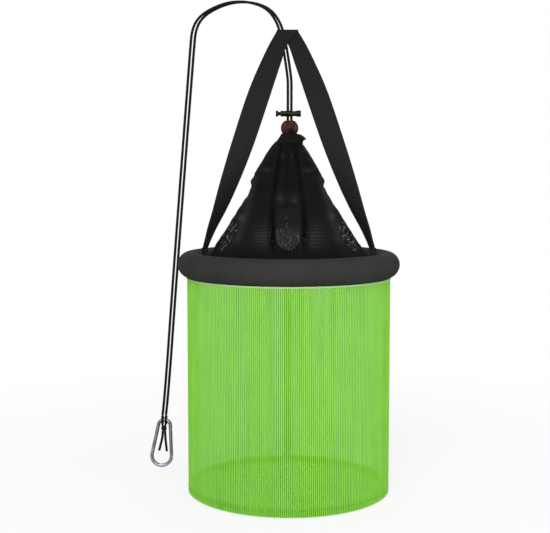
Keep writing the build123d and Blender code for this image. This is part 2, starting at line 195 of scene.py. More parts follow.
def clothGrid(name, grid, place, closed=True):
    # a grid of cloth, each point put in place from its share across and along, and sewn
    # together where it meets itself if it is closed
    selectNone()
    bpy.ops.mesh.primitive_grid_add(x_subdivisions=grid[0], y_subdivisions=grid[1], size=2)
    piece = rename(bpy.context.object, name)
    for vertex in piece.data.vertices:
        vertex.co = place((vertex.co.x + 1) / 2, (vertex.co.y + 1) / 2)
    if closed:
        openEdit(piece)
        bpy.ops.mesh.remove_doubles(threshold=0.02 * mm)
        bpy.ops.mesh.normals_make_consistent(inside=False)
        closeEdit()
    return piece


def scaleUv(piece, acrossSize, alongSize):
    # the grid's own UV map, from shares to real sizes or counts
    for loop in piece.data.uv_layers[0].data:
        loop.uv = (loop.uv[0] * acrossSize, loop.uv[1] * alongSize)


def finishPiece(piece, material, slotName, body, *replaced, angle=None):
    selectOnly(piece)
    bpy.ops.object.transform_apply(location=True, rotation=True, scale=True)
    if angle is None:
        bpy.ops.object.shade_smooth()
    else:
        bpy.ops.object.shade_smooth_by_angle(angle=radians(angle))
    piece.data.materials.clear()
    piece.data.materials.append(material)
    if replaced:
        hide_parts(*replaced)
    if body:
        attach(piece, body)
    return piece


def clothPiece(name, shape, place, material, slotName, body, *replaced, closed=True):
    # a finished piece of cloth, from the grid, map, thickness and edge of its shape
    piece = clothGrid(name, shape["grid"], place, closed)
    scaleUv(piece, *shape["map"])
    thicken(piece, shape["cloth"])
    if "edge" in shape:
        roundEdges(piece, shape["edge"])
    return finishPiece(piece, material, slotName, body, *replaced, angle=50)


def joinMeshes(name, parts):
    selectOnly(parts[0])
    for part in parts:
        part.select_set(True)
    bpy.ops.object.join()
    return rename(parts[0], name)


def stitchRow(name, spots, thread, material, body, slotName):
    # one stitch is modelled once, and copied to each spot: middle, direction, outward
    selectNone()
    bpy.ops.mesh.primitive_uv_sphere_add(segments=6, ring_count=4, radius=1)
    stitch = bpy.context.object
    row = bmesh.new()
    for middle, direction, outward in spots:
        ahead = Vector(direction)
        up = Vector(outward).normalized()
        side = up.cross(ahead).normalized()
        size = Matrix.Diagonal((ahead.length / 2, thread * 0.6, thread * 0.45, 1))
        turn = Matrix((ahead.normalized(), side, up)).transposed().to_4x4()
        one = stitch.data.copy()
        one.transform(Matrix.Translation(middle) @ turn @ size)
        row.from_mesh(one)
        bpy.data.meshes.remove(one)
    row.to_mesh(stitch.data)
    row.free()
    return finishPiece(rename(stitch, name), material, slotName, body)


# small helpers for materials

socketNames = {
    "color": "Base Color",
    "rough": "Roughness",
    "metal": "Metallic",
    "shine": "Specular IOR Level",
    "coat": "Coat Weight",
    "coatRough": "Coat Roughness",
    "sheen": "Sheen Weight",
}


def newMaterial(name, **looks):
    material = bpy.data.materials.new(name)
    material.use_nodes = True
    shader = material.node_tree.nodes["Principled BSDF"]
    for key, value in looks.items():
        shader.inputs[socketNames[key]].default_value = value
    return material


def addNode(tree, kind, wires=None, **settings):
    # wires holds a value or another node's output for each input
    node = tree.nodes.new(kind)
    for key, value in settings.items():
        setattr(node, key, value)
    for key, value in (wires or {}).items():
        if isinstance(value, bpy.types.NodeSocket):
            tree.links.new(value, node.inputs[key])
        else:
            node.inputs[key].default_value = value
    return node


def wireShader(material, **wires):
    tree = material.node_tree
    for key, value in wires.items():
        tree.links.new(value, tree.nodes["Principled BSDF"].inputs[socketNames.get(key, key)])


def calc(operation, *values):
    # a sum on outputs and numbers, in the node tree of the first output
    tree = next(value.id_data for value in values if isinstance(value, bpy.types.NodeSocket))
    return addNode(tree, "ShaderNodeMath", dict(enumerate(values)), operation=operation).outputs[0]


def vectorCalc(operation, *values, output="Vector"):
    wires = dict(enumerate(values))
    node = addNode(values[0].id_data, "ShaderNodeVectorMath", wires, operation=operation)
    return node.outputs[output]


def times(first, second):
    return calc("MULTIPLY", first, second)


def scaled(value, gain, offset):
    return calc("MULTIPLY_ADD", value, gain, offset)


def wave(value, pace, kind="SINE"):
    return calc(kind, times(value, pace))


def noiseOf(place, scale, detail=3.0, rough=0.55, output="Fac"):
    wires = {"Vector": place, "Scale": scale, "Detail": detail, "Roughness": rough}
    return addNode(place.id_data, "ShaderNodeTexNoise", wires).outputs[output]


def rampOf(value, *stops):
    # stops are a place from 0 to 1 and a grey or a colour
    node = addNode(value.id_data, "ShaderNodeValToRGB", {"Fac": value})
    ramp = node.color_ramp
    while len(ramp.elements) < len(stops):
        ramp.elements.new(0.5)
    for element, (spot, shade) in zip(ramp.elements, stops):
        element.position = spot
        element.color = (*shade, 1) if isinstance(shade, tuple) else (shade, shade, shade, 1)
    return node.outputs["Color"]


def mixOf(first, second, share=1.0, blend="MULTIPLY"):
    wires = {0: share, 6: first, 7: second}
    node = addNode(first.id_data, "ShaderNodeMix", wires, data_type="RGBA", blend_type=blend)
    return node.outputs[2]


def bumpOf(height, strength, distance, below=None):
    wires = {"Height": height, "Strength": strength, "Distance": distance}
    if below is not None:
        wires["Normal"] = below
    return addNode(height.id_data, "ShaderNodeBump", wires).outputs["Normal"]


def stretched(place, scale, turn=(0.0, 0.0, 0.0)):
    wires = {"Vector": place, "Scale": scale, "Rotation": turn}
    return addNode(place.id_data, "ShaderNodeMapping", wires).outputs["Vector"]


def partsOf(place):
    return addNode(place.id_data, "ShaderNodeSeparateXYZ", {"Vector": place}).outputs


def objectPlace(material):
    return addNode(material.node_tree, "ShaderNodeTexCoord").outputs["Object"]


def uvParts(material):
    uv = addNode(material.node_tree, "ShaderNodeUVMap").outputs["UV"]
    return uv, partsOf(uv)["X"], partsOf(uv)["Y"]


# materials

def foamMaterial():
    material = newMaterial("foamMatte", rough=0.88, shine=0.04)
    place = objectPlace(material)
    cloud = noiseOf(place, 26)
    pores = noiseOf(place, 1500, 2, 0.6)
    color = rampOf(cloud, (0.3, (0.025, 0.025, 0.0235)), (0.7, (0.032, 0.032, 0.030)))
    soft = bumpOf(cloud, 0.25, 0.0012)
    wireShader(material, color=color, Normal=bumpOf(pores, 0.30, 0.00018, soft))
    return material


def netMaterial(name, deep, light, ribsAcross, threads, hidesLow, hidesHigh):
    # the UV map is the share across and along, ribs and threads are counted over it;
    # hidesLow and hidesHigh say how much the net hides between its ribs and on them
    material = newMaterial(name, rough=0.7, shine=0.1)
    _, ribs, rows = uvParts(material)
    ribShare = scaled(wave(ribs, 2 * pi * ribsAcross, "COSINE"), 0.5, 0.5)
    rowShare = scaled(wave(rows, 2 * pi * threads, "COSINE"), 0.5, 0.5)
    cloth = scaled(rowShare, 0.2, times(ribShare, 0.8))
    place = objectPlace(material)
    uneven = noiseOf(place, 34)
    streaks = noiseOf(stretched(place, (1.0, 1.0, 0.04)), 260, 2, 0.7)
    tone = scaled(streaks, 0.35, scaled(uneven, 0.3, times(ribShare, 0.68)))
    color = rampOf(tone, (0.2, deep), (0.95, light))
    covered = scaled(cloth, hidesHigh - hidesLow, hidesLow)
    wireShader(material, color=color, Alpha=covered, Normal=bumpOf(cloth, 0.5, 0.0003))
    return material


def tapeMaterial(name, deep, light, weave=1.0):
    # the UV map and the weave are in millimetres
    material = newMaterial(name, rough=0.78, shine=0.2, sheen=0.15)
    uv, across, along = uvParts(material)
    woven = times(wave(across, 2 * pi / weave), wave(along, 2 * pi / weave))
    tone = scaled(woven, 0.22, noiseOf(uv, 0.6))
    color = rampOf(tone, (0.25, deep), (0.8, light))
    wireShader(material, color=color, Normal=bumpOf(woven, 0.5, 0.0002))
    return material


def webbingMaterial(yarnWidth=1.25, floatLength=2.2, height=0.28):
    # the UV map and the yarns are in millimetres, the handle's height in metres
    material = newMaterial("webbingBlack", rough=0.8, shine=0.1)
    uv, across, along = uvParts(material)
    column = calc("FLOOR", calc("DIVIDE", across, yarnWidth))
    stepped = calc("ADD", along, times(calc("PINGPONG", column, 1.0), floatLength / 2))
    yarns = calc("ABSOLUTE", wave(across, pi / yarnWidth))
    floats = calc("ABSOLUTE", wave(stepped, pi / floatLength))
    woven = times(calc("POWER", yarns, 0.5), calc("POWER", floats, 0.5))
    tone = calc("ADD", times(woven, 0.45), times(noiseOf(uv, 0.75, 3, 0.8), 0.75))
    dark = rampOf(
        tone, (0.3, 0.003), (0.6, (0.0128, 0.0124, 0.0130)), (0.9, (0.060, 0.0565, 0.060)),
    )
    cloud = noiseOf(objectPlace(material), 30, 2)
    tint = rampOf(cloud, (0.4, (0.94, 0.96, 1.0)), (0.6, (1.03, 0.97, 0.98)))
    # painted sheen and shade: paler towards the feet, darker towards the top
    up = calc("DIVIDE", partsOf(objectPlace(material))["Z"], height)
    paintedSheenAndShade = rampOf(up, (0.08, 0.95), (0.45, 0.66), (0.95, 0.42))
    color = mixOf(mixOf(dark, tint), paintedSheenAndShade)
    wireShader(material, color=color, Normal=bumpOf(woven, 0.8, 0.00035))
    return material


def coverMaterial(weave=0.9, ribEvery=0.0037):
    # attributes on the cloth: creased is 1 where it is crumpled, patched on the black side
    # patches, ribbed where it has fine ribs, and the grey share is painted light: painted
    # highlights and sheen on the folds that stand out, painted shade in the hollows
    material = newMaterial("coverNylon", shine=0.05)
    creased, wearAndPaintedLight, ribbed, patched = (
        addNode(material.node_tree, "ShaderNodeAttribute", attribute_name=key).outputs["Fac"]
        for key in ("creased", "wearAndPaintedLight", "ribbed", "patched")
    )
    uv, across, along = uvParts(material)
    place = objectPlace(material)
    cloud = noiseOf(place, 70)
    waver = scaled(noiseOf(place, 24, 2), 0.0075, partsOf(place)["Z"])
    ribs = times(wave(waver, 2 * pi / ribEvery), ribbed)
    woven = times(wave(across, 2 * pi / weave), wave(along, 2 * pi / weave))

    # painted highlights: pale lines of colour along the crumpled creases, standing in for glints
    bent = vectorCalc("MULTIPLY", noiseOf(uv, 0.22, 2.0, 0.5, "Color"), (1.1, 1.1, 1.1))
    moved = vectorCalc("ADD", stretched(uv, (0.20, 0.085, 1.0), (0, 0, 0.35)), bent)
    crackle = addNode(
        material.node_tree, "ShaderNodeTexVoronoi",
        {"Vector": moved, "Scale": 1.0, "Randomness": 1.0},
        feature="DISTANCE_TO_EDGE", voronoi_dimensions="2D",
    ).outputs["Distance"]
    ridge = rampOf(crackle, (0.0, 1.0), (0.075, 0.0))
    patchy = rampOf(noiseOf(uv, 0.16, 3, 0.7), (0.46, 0.03), (0.58, 1.0))
    paintedGlint = times(times(ridge, patchy), creased)

    rough = scaled(creased, -0.3, scaled(cloud, 0.1, 0.66))
    # the grey: a random cloud, the painted highlights and shade, and lighter and darker bands in
    # step with the ribs, painted light and shade of their relief
    grey = times(scaled(cloud, 0.16, times(wearAndPaintedLight, 0.8)), scaled(ribs, 0.30, 1.0))
    grey = scaled(patched, -0.5, scaled(woven, 0.02, grey))
    cloth = rampOf(
        grey, (0.05, (0.0022, 0.0022, 0.0020)), (0.35, (0.0092, 0.0092, 0.0088)), (0.9, 0.036),
    )
    clothWithPaintedGlints = mixOf(cloth, (0.42, 0.42, 0.42, 1), paintedGlint, "MIX")
    soft = bumpOf(cloud, 0.25, 0.0008, bumpOf(woven, 0.2, 0.00012))
    ribRelief = bumpOf(ribs, 0.6, 0.0004, soft)
    wireShader(material, color=clothWithPaintedGlints, rough=rough, Normal=bumpOf(paintedGlint, 0.8, 0.0006, ribRelief))
    return material


def braidMaterial():
    material = newMaterial("cordBraid", rough=0.8, shine=0.08)
    fibre = noiseOf(uvParts(material)[0], 2.4, 3, 0.7)
    color = rampOf(fibre, (0.3, 0.003), (0.75, (0.012, 0.011, 0.012)))
    wireShader(material, color=color, Normal=bumpOf(fibre, 0.4, 0.00015))
    return material


def beadMaterial(shadeSpot=(0.0030, -0.0098, 0.1572)):
    # the middle of a painted shade: the wood is darker round a spot low on the front
    material = newMaterial("beadWood", rough=0.5, shine=0.06, coat=0.07, coatRough=0.18)
    place = objectPlace(material)
    grain = noiseOf(stretched(place, (300.0, 300.0, 90.0), (0.2, 0.75, 0.0)), 1.0, 6, 0.62)
    color = rampOf(
        grain, (0.36, (0.0060, 0.0018, 0.0012)), (0.54, (0.036, 0.0092, 0.0054)),
        (0.72, (0.124, 0.056, 0.036)),
    )
    # painted shade, darkest at the spot and fading out over a few millimetres
    away = vectorCalc("DISTANCE", place, shadeSpot, output="Value")
    paintedShade = rampOf(times(away, 100.0), (0.30, 0.14), (0.66, 1.0))
    wireShader(material, color=mixOf(color, paintedShade), Normal=bumpOf(grain, 0.12, 0.0002))
    return material


def metalMaterial(name, wearAndPaintedLight, clean, rough, grain=900.0):
    material = newMaterial(name, metal=1.0)
    place = objectPlace(material)
    fine = noiseOf(place, grain, 3, 0.6)
    color = rampOf(noiseOf(place, 140), (0.3, wearAndPaintedLight), (0.65, clean))
    roughness = scaled(fine, 0.16, rough - 0.08)
    wireShader(material, color=color, rough=roughness, Normal=bumpOf(fine, 0.12, 0.00008))
    return material


foam = foamMaterial()
wallNet = netMaterial(
    "wallNet", (0.064, 0.335, 0.003), (0.262, 0.63, 0.064), 328, 120, 0.60, 0.95,
)
floorNet = netMaterial(
    "floorNet", (0.085, 0.34, 0.03), (0.20, 0.54, 0.08), 94, 94, 0.5, 0.9,
)
paleTape = tapeMaterial("paleTape", (0.35, 0.57, 0.21), (0.54, 0.75, 0.37))
greenTape = tapeMaterial("greenTape", (0.022, 0.105, 0.015), (0.052, 0.20, 0.034), 1.3)
seamGreen = tapeMaterial("seamGreen", (0.26, 0.60, 0.09), (0.44, 0.78, 0.22), 1.3)
webbing = webbingMaterial()
nylon = coverMaterial()
braid = braidMaterial()
beadWood = beadMaterial()
bronze = metalMaterial(
    "bronzeDark", (0.0056, 0.0050, 0.0042), (0.0215, 0.0198, 0.0170), 0.40, 700.0,
)
hookMetal = metalMaterial(
    "hookMetal", (0.145, 0.138, 0.190), (0.315, 0.315, 0.405), 0.24, 600.0,
)
springSteel = metalMaterial("springSteel", 0.38, 0.60, 0.30)
hoopSteel = metalMaterial("hoopSteel", (0.25, 0.26, 0.26), (0.42, 0.43, 0.43), 0.42)
stitchBlack = tapeMaterial("stitchBlack", 0.010, (0.030, 0.029, 0.030), 0.4)
stitchGreen = tapeMaterial("stitchGreen", (0.10, 0.30, 0.06), (0.20, 0.48, 0.13), 0.4)
print("keep net: materials made")


# cords, the two strands of the drawstring

# in metres, but pitch, lay and mapRound are in millimetres
cordWays = {
    "diameter": 3.0 * mm,
    "strandDiameter": 3.18 * mm,
    "mapRound": 9.4,
    "pitch": 4.2,
    "lay": 3.4,
    "plaits": 6,
    "plaitTurn": 6.5 * mm,
    "plaitDepth": 0.06,
    "plaitShift": 0.8,
    "sides": 24,
    "ringPoints": 44,
    "step": 0.75 * mm,
    "knotStep": 0.5 * mm,
    "tip": 0.35,
}
cordRadius = cordWays["diameter"] / 2
# middle of the two strands, in millimetres, with the share of the lay
cordRoute = (
    (1.0, 0.0, 148.8, 0.0),
    (1.0, 0.0, 208.2, 0.0),
    (1.0, 0.0, 219.4, 0.0),
    (-2.6, 3.8, 245.0, 0.6),
    (-6.2, 6.0, 265.5, 1.0),
    (-11.4, 6.2, 286.0, 1.0),
    (-23.4, 6.2, 302.6, 1.0),
    (-43.0, 6.2, 310.2, 1.0),
    (-65.5, 6.2, 310.9, 1.0),
    (-86.0, 6.2, 304.5, 1.0),
    (-103.9, 6.2, 293.8, 1.0),
    (-112.8, 6.2, 278.9, 1.0),
    (-115.0, 6.2, 255.0, 0.8),
    (-117.0, 6.2, 231.4, 0.75),
    (-136.7, 6.0, -5.0, 0.3),
    (-149.2, 6.0, -166.0, 0.0),
    (-152.0, 6.0, -186.5, 0.0),
)


def routeLine(points):
    # points along the smooth line that has the route as its control points
    data = bpy.data.curves.new("routeLine", "CURVE")
    data.dimensions = "3D"
    data.resolution_u = 48
    spline = data.splines.new("NURBS")
    spline.points.add(len(points) - 1)
    for point, place in zip(spline.points, points):
        point.co = (*place, 1)
    spline.order_u = 3
    spline.use_endpoint_u = True
    guide = bpy.data.objects.new("routeLine", data)
    mesh = bpy.data.meshes.new_from_object(guide)
    line = [vertex.co.copy() for vertex in mesh.vertices]
    bpy.data.meshes.remove(mesh)
    bpy.data.objects.remove(guide)
    bpy.data.curves.remove(data)
    return line


def evenLine(line, step):
    # the same line, with points a step apart
    even = [line[0].copy()]
    left = step
    for start, end in zip(line, line[1:]):
        run = (end - start).length
        while run >= left > 0:
            start = start + (end - start) * (left / run)
            even.append(start.copy())
            run = (end - start).length
            left = step
        left -= run
    if (even[-1] - line[-1]).length > step * 0.3:
        even.append(line[-1].copy())
    return even


def ringLine(middle, first, second, radius):
    # points round a ring that lies in the plane of two directions
    turns = [2 * pi * n / cordWays["ringPoints"] for n in range(cordWays["ringPoints"])]
    return [middle + (first * cos(turn) + second * sin(turn)) * radius for turn in turns]


def braidedCord(name, line, radius, closed=False, seed=0.0):
    # a plaited tube along the line, its ends closed unless it is a ring
    sides = cordWays["sides"]
    across, way = Vector((0, -1, 0)), 0.0
    mesh = bmesh.new()
    uvMap = mesh.loops.layers.uv.new("UVMap")
    rings, ways = [], []
    for n, point in enumerate(line):
        ahead = line[(n + 1) % len(line)] if closed or n < len(line) - 1 else point
        behind = line[n - 1] if closed or n > 0 else point
        heading = (ahead - behind).normalized()
        across = (across - heading * across.dot(heading)).normalized()
        other = heading.cross(across)
        if n:
            way += (point - line[n - 1]).length
        ring = []
        for k in range(sides):
            turn = 2 * pi * k / sides
            phase = 2 * pi * way / cordWays["plaitTurn"] + seed
            one = cos(cordWays["plaits"] * turn + phase)
            two = cos(cordWays["plaits"] * turn - phase)
            lift = 1 - cordWays["plaitDepth"] * (1 - max(one, two)) / 2
            outward = across * cos(turn) + other * sin(turn)
            ring.append(mesh.verts.new(point + outward * radius * lift))
        rings.append(ring)
        ways.append(way)
    for n in range(len(rings) if closed else len(rings) - 1):
        here, there = rings[n], rings[(n + 1) % len(rings)]
        reach = ways[n + 1] if n + 1 < len(ways) else way + (line[0] - line[-1]).length
        for k in range(sides):
            after = (k + 1) % sides
            face = mesh.faces.new((here[k], here[after], there[after], there[k]))
            left, right = (place * cordWays["mapRound"] / sides for place in (k, k + 1))
            spots = ((left, ways[n]), (right, ways[n]), (right, reach), (left, reach))
            for loop, spot in zip(face.loops, spots):
                loop[uvMap].uv = (spot[0], spot[1] / mm)
    if not closed:
        for ring, end, inner in ((rings[0], line[0], line[1]), (rings[-1], line[-1], line[-2])):
            tip = mesh.verts.new(end + (end - inner).normalized() * radius * cordWays["tip"])
            for k in range(sides):
                mesh.faces.new((ring[k], ring[(k + 1) % sides], tip))
    bmesh.ops.recalc_face_normals(mesh, faces=mesh.faces)
    data = bpy.data.meshes.new(name)
    mesh.to_mesh(data)
    mesh.free()
    piece = bpy.data.objects.new(name, data)
    bpy.context.scene.collection.objects.link(piece)
    return piece


for side, strandName, nodeName in (
    (-1, "strandLeft", "cord_left"), (1, "strandRight", "cord_right"),
):
    shift = side * cordWays["pitch"] / 2
    way = [
        ((x + shift) * mm, (y + side * lay * cordWays["lay"] / 2) * mm, z * mm)
        for x, y, z, lay in cordRoute
    ]
    line = evenLine(routeLine(way), cordWays["step"])
    seed = side * cordWays["plaitShift"]
    strand = braidedCord(strandName, line, cordWays["strandDiameter"] / 2, seed=seed)
    finishPiece(strand, braid, "black_cord", "net_top", nodeName)
    length = sum((b - a).length for a, b in zip(line, line[1:]))
    print(f"keep net: {strandName} {length:.3f} m")


# float, its foam tube with a butt joint at the back

floatLow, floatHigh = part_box("float_ring")
floatShape = {
    "thick": (floatHigh.z - floatLow.z) / 2,
    "radius": floatHigh.x - (floatHigh.z - floatLow.z) / 2,
    "grid": (300, 56),
    "fullOut": 0.45 * mm,
    "fullBelow": 0.65 * mm,
    "unevenness": 0.25 * mm,
    "unevenPace": 14,
    "jointDepth": 0.7 * mm,
    "jointWidth": 0.9 * mm,
}


def foamThick(roll):
    fullOut = floatShape["fullOut"] * max(0, cos(roll))
    fullBelow = floatShape["fullBelow"] * max(0, -sin(roll)) ** 2
    return floatShape["thick"] + (fullOut + fullBelow)


def tubePoint(turn, roll, thick):
    # turn goes round the ring, roll round the foam
    outward = onRing(turn, 1)
    around = outward * cos(roll) + Vector((0, 0, sin(roll)))
    return outward * floatShape["radius"] + around * thick


def floatPoint(u, v):
    turn, roll = 2 * pi * u, 2 * pi * v
    thick = foamThick(roll) - floatShape["unevenness"]
    spot = tubePoint(turn, roll, thick)
    thick += floatShape["unevenness"] * noise.noise(spot * floatShape["unevenPace"])
    fromJoint = (turn - pi / 2) * floatShape["radius"]
    thick -= floatShape["jointDepth"] * hill(fromJoint, floatShape["jointWidth"])
    return tubePoint(turn, roll, thick)


floatRing = clothGrid("floatRing", floatShape["grid"], floatPoint)
finishPiece(floatRing, foam, "foam", "net_top", "float_ring")
print("keep net: float made")


# sleeve of cloth round the inside of the float

sleeve = {
    "offset": 1.1 * mm,
    "start": 156,
    "turn": 114,
    "pucker": 0.25 * mm,
    "puckers": 46,
    "cloth": 0.9 * mm,
    "grid": (360, 22),
    "map": (740, 34),
}


def sleevePoint(u, v):
    turn = 2 * pi * u
    roll = radians(sleeve["start"] + sleeve["turn"] * v)
    edge = abs(v - 0.5) * 2
    waves = sin(turn * sleeve["puckers"] + 3 * sin(5 * turn))
    lift = sleeve["pucker"] * waves * edge**2
    return tubePoint(turn, roll, foamThick(roll) + sleeve["offset"] + lift)


floatSleeve = clothPiece(
    "floatSleeve", sleeve, sleevePoint, nylon, "black_cloth", "net_top", "float_sleeve",
)
print("keep net: sleeve made")


# net wall, its ribs and its tapes

wallLow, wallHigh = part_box("mesh_wall")
bindingLow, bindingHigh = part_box("bottom_binding")
wall = {
    "radius": bindingHigh.x + 0.5 * mm,
    "ribs": 328,
    "ribDepth": 0.38 * mm,
    "unevenness": 0.35,
    "unevenPace": 9,
    "samples": 8,
    "rows": 10,
    "top": wallHigh.z,
    "bottom": wallLow.z,
}


def wallPoint(u, v):
    turn = 2 * pi * u
    cloud = noise.noise(onRing(turn, 1) * wall["unevenPace"])
    depth = wall["ribDepth"] * (1 + wall["unevenness"] * cloud)
    radius = wall["radius"] + depth * cos(turn * wall["ribs"])
    return onRing(turn, radius, wall["bottom"] + (wall["top"] - wall["bottom"]) * v)


wallGrid = (wall["ribs"] * wall["samples"], wall["rows"])
netWall = clothGrid("netWall", wallGrid, wallPoint)
finishPiece(netWall, wallNet, "green_net", "net_top", "mesh_wall")
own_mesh(netWall)


def ringTape(name, shape):
    # a tape folded round an edge, with a rounded oblong section
    def place(u, v):
        turn, roll = 2 * pi * u, 2 * pi * v
        c, s = cos(roll), sin(roll)
        waves = sin(shape["puckers"] * turn + 4 * sin(3 * turn))
        lift = 1 + shape["pucker"] * waves * (0.5 - 0.5 * abs(s))
        out = shape["halfWide"] * lift * abs(c) ** shape["power"] * (1 if c > 0 else -1)
        up = shape["halfHigh"] * abs(s) ** shape["power"] * (1 if s > 0 else -1)
        return onRing(turn, shape["radius"] + out, shape["height"] + up)

    piece = clothGrid(name, shape["grid"], place)
    scaleUv(piece, 2 * pi * shape["radius"] / mm, 4 * (shape["halfWide"] + shape["halfHigh"]) / mm)
    return piece


def ringStitches(name, shape, body, slotName):
    # stitches that point round the net, on the outside of a tape
    spots = []
    for n in range(shape["stitches"]):
        turn = 2 * pi * n / shape["stitches"]
        ahead = Vector((-sin(turn), cos(turn), 0)) * shape["stitchLength"]
        middle = onRing(turn, shape["stitchRadius"], shape["stitchHeight"])
        spots.append((middle, ahead, onRing(turn, 1)))
    return stitchRow(name, spots, shape["thread"], stitchGreen, body, slotName)


topLow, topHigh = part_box("top_tape")
topMiddle = (topLow.z + topHigh.z) / 2 + 0.1 * mm
topTapeShape = {
    "radius": wall["radius"],
    "height": topMiddle,
    "halfWide": 0.95 * mm,
    "halfHigh": 1.0 * mm,
    "power": 0.55,
    "grid": (480, 16),
    "pucker": 0.05,
    "puckers": 150,
    "stitches": 250,
    "stitchRadius": wall["radius"] + 0.98 * mm,
    "stitchHeight": topMiddle,
    "stitchLength": 2.0 * mm,
    "thread": 0.35 * mm,
}
topTape = ringTape("topTape", topTapeShape)
finishPiece(topTape, paleTape, "green_tape", "net_top", "top_tape")

bindingHalf = (bindingHigh.z - bindingLow.z) / 2
bindingMiddle = (bindingLow.z + bindingHigh.z) / 2
bindingShape = {
    "radius": bindingHigh.x - bindingHalf,
    "height": bindingMiddle,
    "halfWide": bindingHalf,
    "halfHigh": bindingHalf,
    "power": 0.6,
    "grid": (480, 24),
    "pucker": 0.035,
    "puckers": 120,
    "stitches": 250,
    "stitchRadius": wall["radius"] + 0.45 * mm,
    "stitchHeight": bindingMiddle + bindingHalf * 0.8,
    "stitchLength": 2.1 * mm,
    "thread": 0.5 * mm,
}
bottomBinding = ringTape("bottomBinding", bindingShape)
finishPiece(bottomBinding, greenTape, "dark_green_tape", "net_base", "bottom_binding")
ringStitches("bindingStitches", bindingShape, "net_base", "dark_green_tape")
ringStitches("topTapeStitches", topTapeShape, "net_top", "green_tape")

seamLow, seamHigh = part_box("wall_seam_tape")
seam = {
    "radius": seamHigh.y - 0.4 * mm,
    "half": (seamHigh.x - seamLow.x) / 2,
    "bottom": seamLow.z,
    "top": seamHigh.z,
    "ripple": 0.12 * mm,
    "ripplePace": 0.5,
    "cloth": 0.7 * mm,
    "grid": (10, 160),
    "map": (10, 257),
    "stitchRows": (-0.68, 0.68),
    "stitchEvery": 2.9 * mm,
    "stitchLength": 2.1 * mm,
    "stitchOut": 0.42 * mm,
    "thread": 0.4 * mm,
}


def seamPoint(u, v):
    turn = pi / 2 - (2 * u - 1) * seam["half"] / seam["radius"]
    height = seam["bottom"] + (seam["top"] - seam["bottom"]) * v
    ripple = seam["ripple"] * sin(height / mm * seam["ripplePace"]) * (2 * u - 1) ** 2
    return onRing(turn, seam["radius"] + ripple, height)


seamTape = clothPiece(
    "seamTape", seam, seamPoint, seamGreen, "green_tape", "net_top", "wall_seam_tape",
    closed=False,
)
seamSpots = []
for side in seam["stitchRows"]:
    for n in range(int((seam["top"] - seam["bottom"]) / seam["stitchEvery"])):
        turn = pi / 2 - side * seam["half"] / seam["radius"]
        height = seam["bottom"] + (n + 0.5) * seam["stitchEvery"]
        spot = onRing(turn, seam["radius"] + seam["stitchOut"], height)
        seamSpots.append((spot, Vector((0, 0, seam["stitchLength"])), onRing(turn, 1)))
seamStitches = stitchRow(
    "seamStitches", seamSpots, seam["thread"], stitchGreen, "net_top", "green_tape",
)
for piece in (seamTape, seamStitches):
    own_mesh(piece)
print("keep net: wall and tapes made")


# floor net inside the bottom hoop

floorLow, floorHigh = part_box("base_mesh")
floorShape = {
    "radius": floorHigh.x,
    "height": (floorLow.z + floorHigh.z) / 2,
    "dip": 0.35 * mm,
    "unevenness": 0.2 * mm,
    "unevenPace": 40,
    "cloth": 0.5 * mm,
    "grid": (56, 56),
}


def floorPoint(u, v):
    # the square grid is drawn out to a round one
    x, y = 2 * u - 1, 2 * v - 1
    across = x * sqrt(1 - y * y / 2) * floorShape["radius"]
    away = y * sqrt(1 - x * x / 2) * floorShape["radius"]
    share = hypot(across, away) / floorShape["radius"]
    cloud = noise.noise(Vector((across, away, 0)) * floorShape["unevenPace"])
    uneven = floorShape["unevenness"] * cloud * (1 - share)
    height = floorShape["height"] - floorShape["dip"] * (1 - share**2) + uneven
    return Vector((across, away, height))


baseNet = clothGrid("baseNet", floorShape["grid"], floorPoint, closed=False)
for loop in baseNet.data.loops:
    spot = baseNet.data.vertices[loop.vertex_index].co
    baseNet.data.uv_layers[0].data[loop.index].uv = (
        spot.x / floorShape["radius"] / 2 + 0.5, spot.y / floorShape["radius"] / 2 + 0.5,
    )
thicken(baseNet, floorShape["cloth"])
finishPiece(baseNet, floorNet, "green_net", "net_base", "base_mesh", angle=50)
print("keep net: base net made")


# cover, a gathered funnel of cloth

# in millimetres and degrees, but cloth is in metres
cover = {
    "foot": 6.0,
    "top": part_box("cover")[1].z / mm,
    "skirt": 0.06,
    "cloth": 0.8 * mm,
    "grid": (360, 124),
    "frontShare": 0.42,
    "shift": -1.1,
    "crumpleLift": 0.9,
    "crumpleDepth": 3.4,
    "foldWide": 4.5,
    "foldSpread": 0.09,
    "gathers": 14,
    "gatherDepth": 0.9,
    "front": 90,
    "shadedFrom": 8,
    "map": (603, 190),
    # the tongue that hangs down the middle fold
    "tongueMiddle": -0.7,
    "tongueHalf": 15.6,
    "tongueFoot": 19,
    "tongueTop": 72,
    # the black patches at the sides: degrees from the front, height, sizes and lean
    "patchAngle": 65,
    "patchHeight": 35,
    "patchWide": 19.0,
    "patchTall": 18.5,
    "patchLean": 0.19,
}
# height and radius in millimetres
coverProfile = (
    (6.0, 95.9), (23.5, 86.0), (43.0, 73.2), (62.0, 61.6), (81.0, 49.4), (89.0, 45.2),
    (94.0, 44.0), (100.0, 43.2), (108.0, 39.6), (119.0, 33.6), (130.0, 27.0), (138.0, 21.2),
    (146.0, 14.6),
)
# the skirt that turns out under the float, unseen from above: share of its way, radius and height
skirtProfile = ((0, 106.0, -12.6), (0.45, 95.9, -3.0), (1, 95.9, 6.0))
# height, depth of the folds at the sides and how sharp they are
coverFolds = (
    (6.0, 0.0, 1.0), (18.0, 1.2, 1.0), (30.0, 4.0, 1.0), (43.0, 6.4, 1.0), (62.0, 7.4, 0.8),
    (81.0, 7.2, 0.8), (100.0, 6.4, 0.8), (119.0, 5.2, 0.9), (138.0, 3.4, 1.0), (146.0, 2.2, 1.0),
)
# folds at the sides and the back, in degrees from the front, with their share of the depth
sideFolds = ((-116, 0.8), (-158, 1.0), (158, 1.0), (116, 0.8))
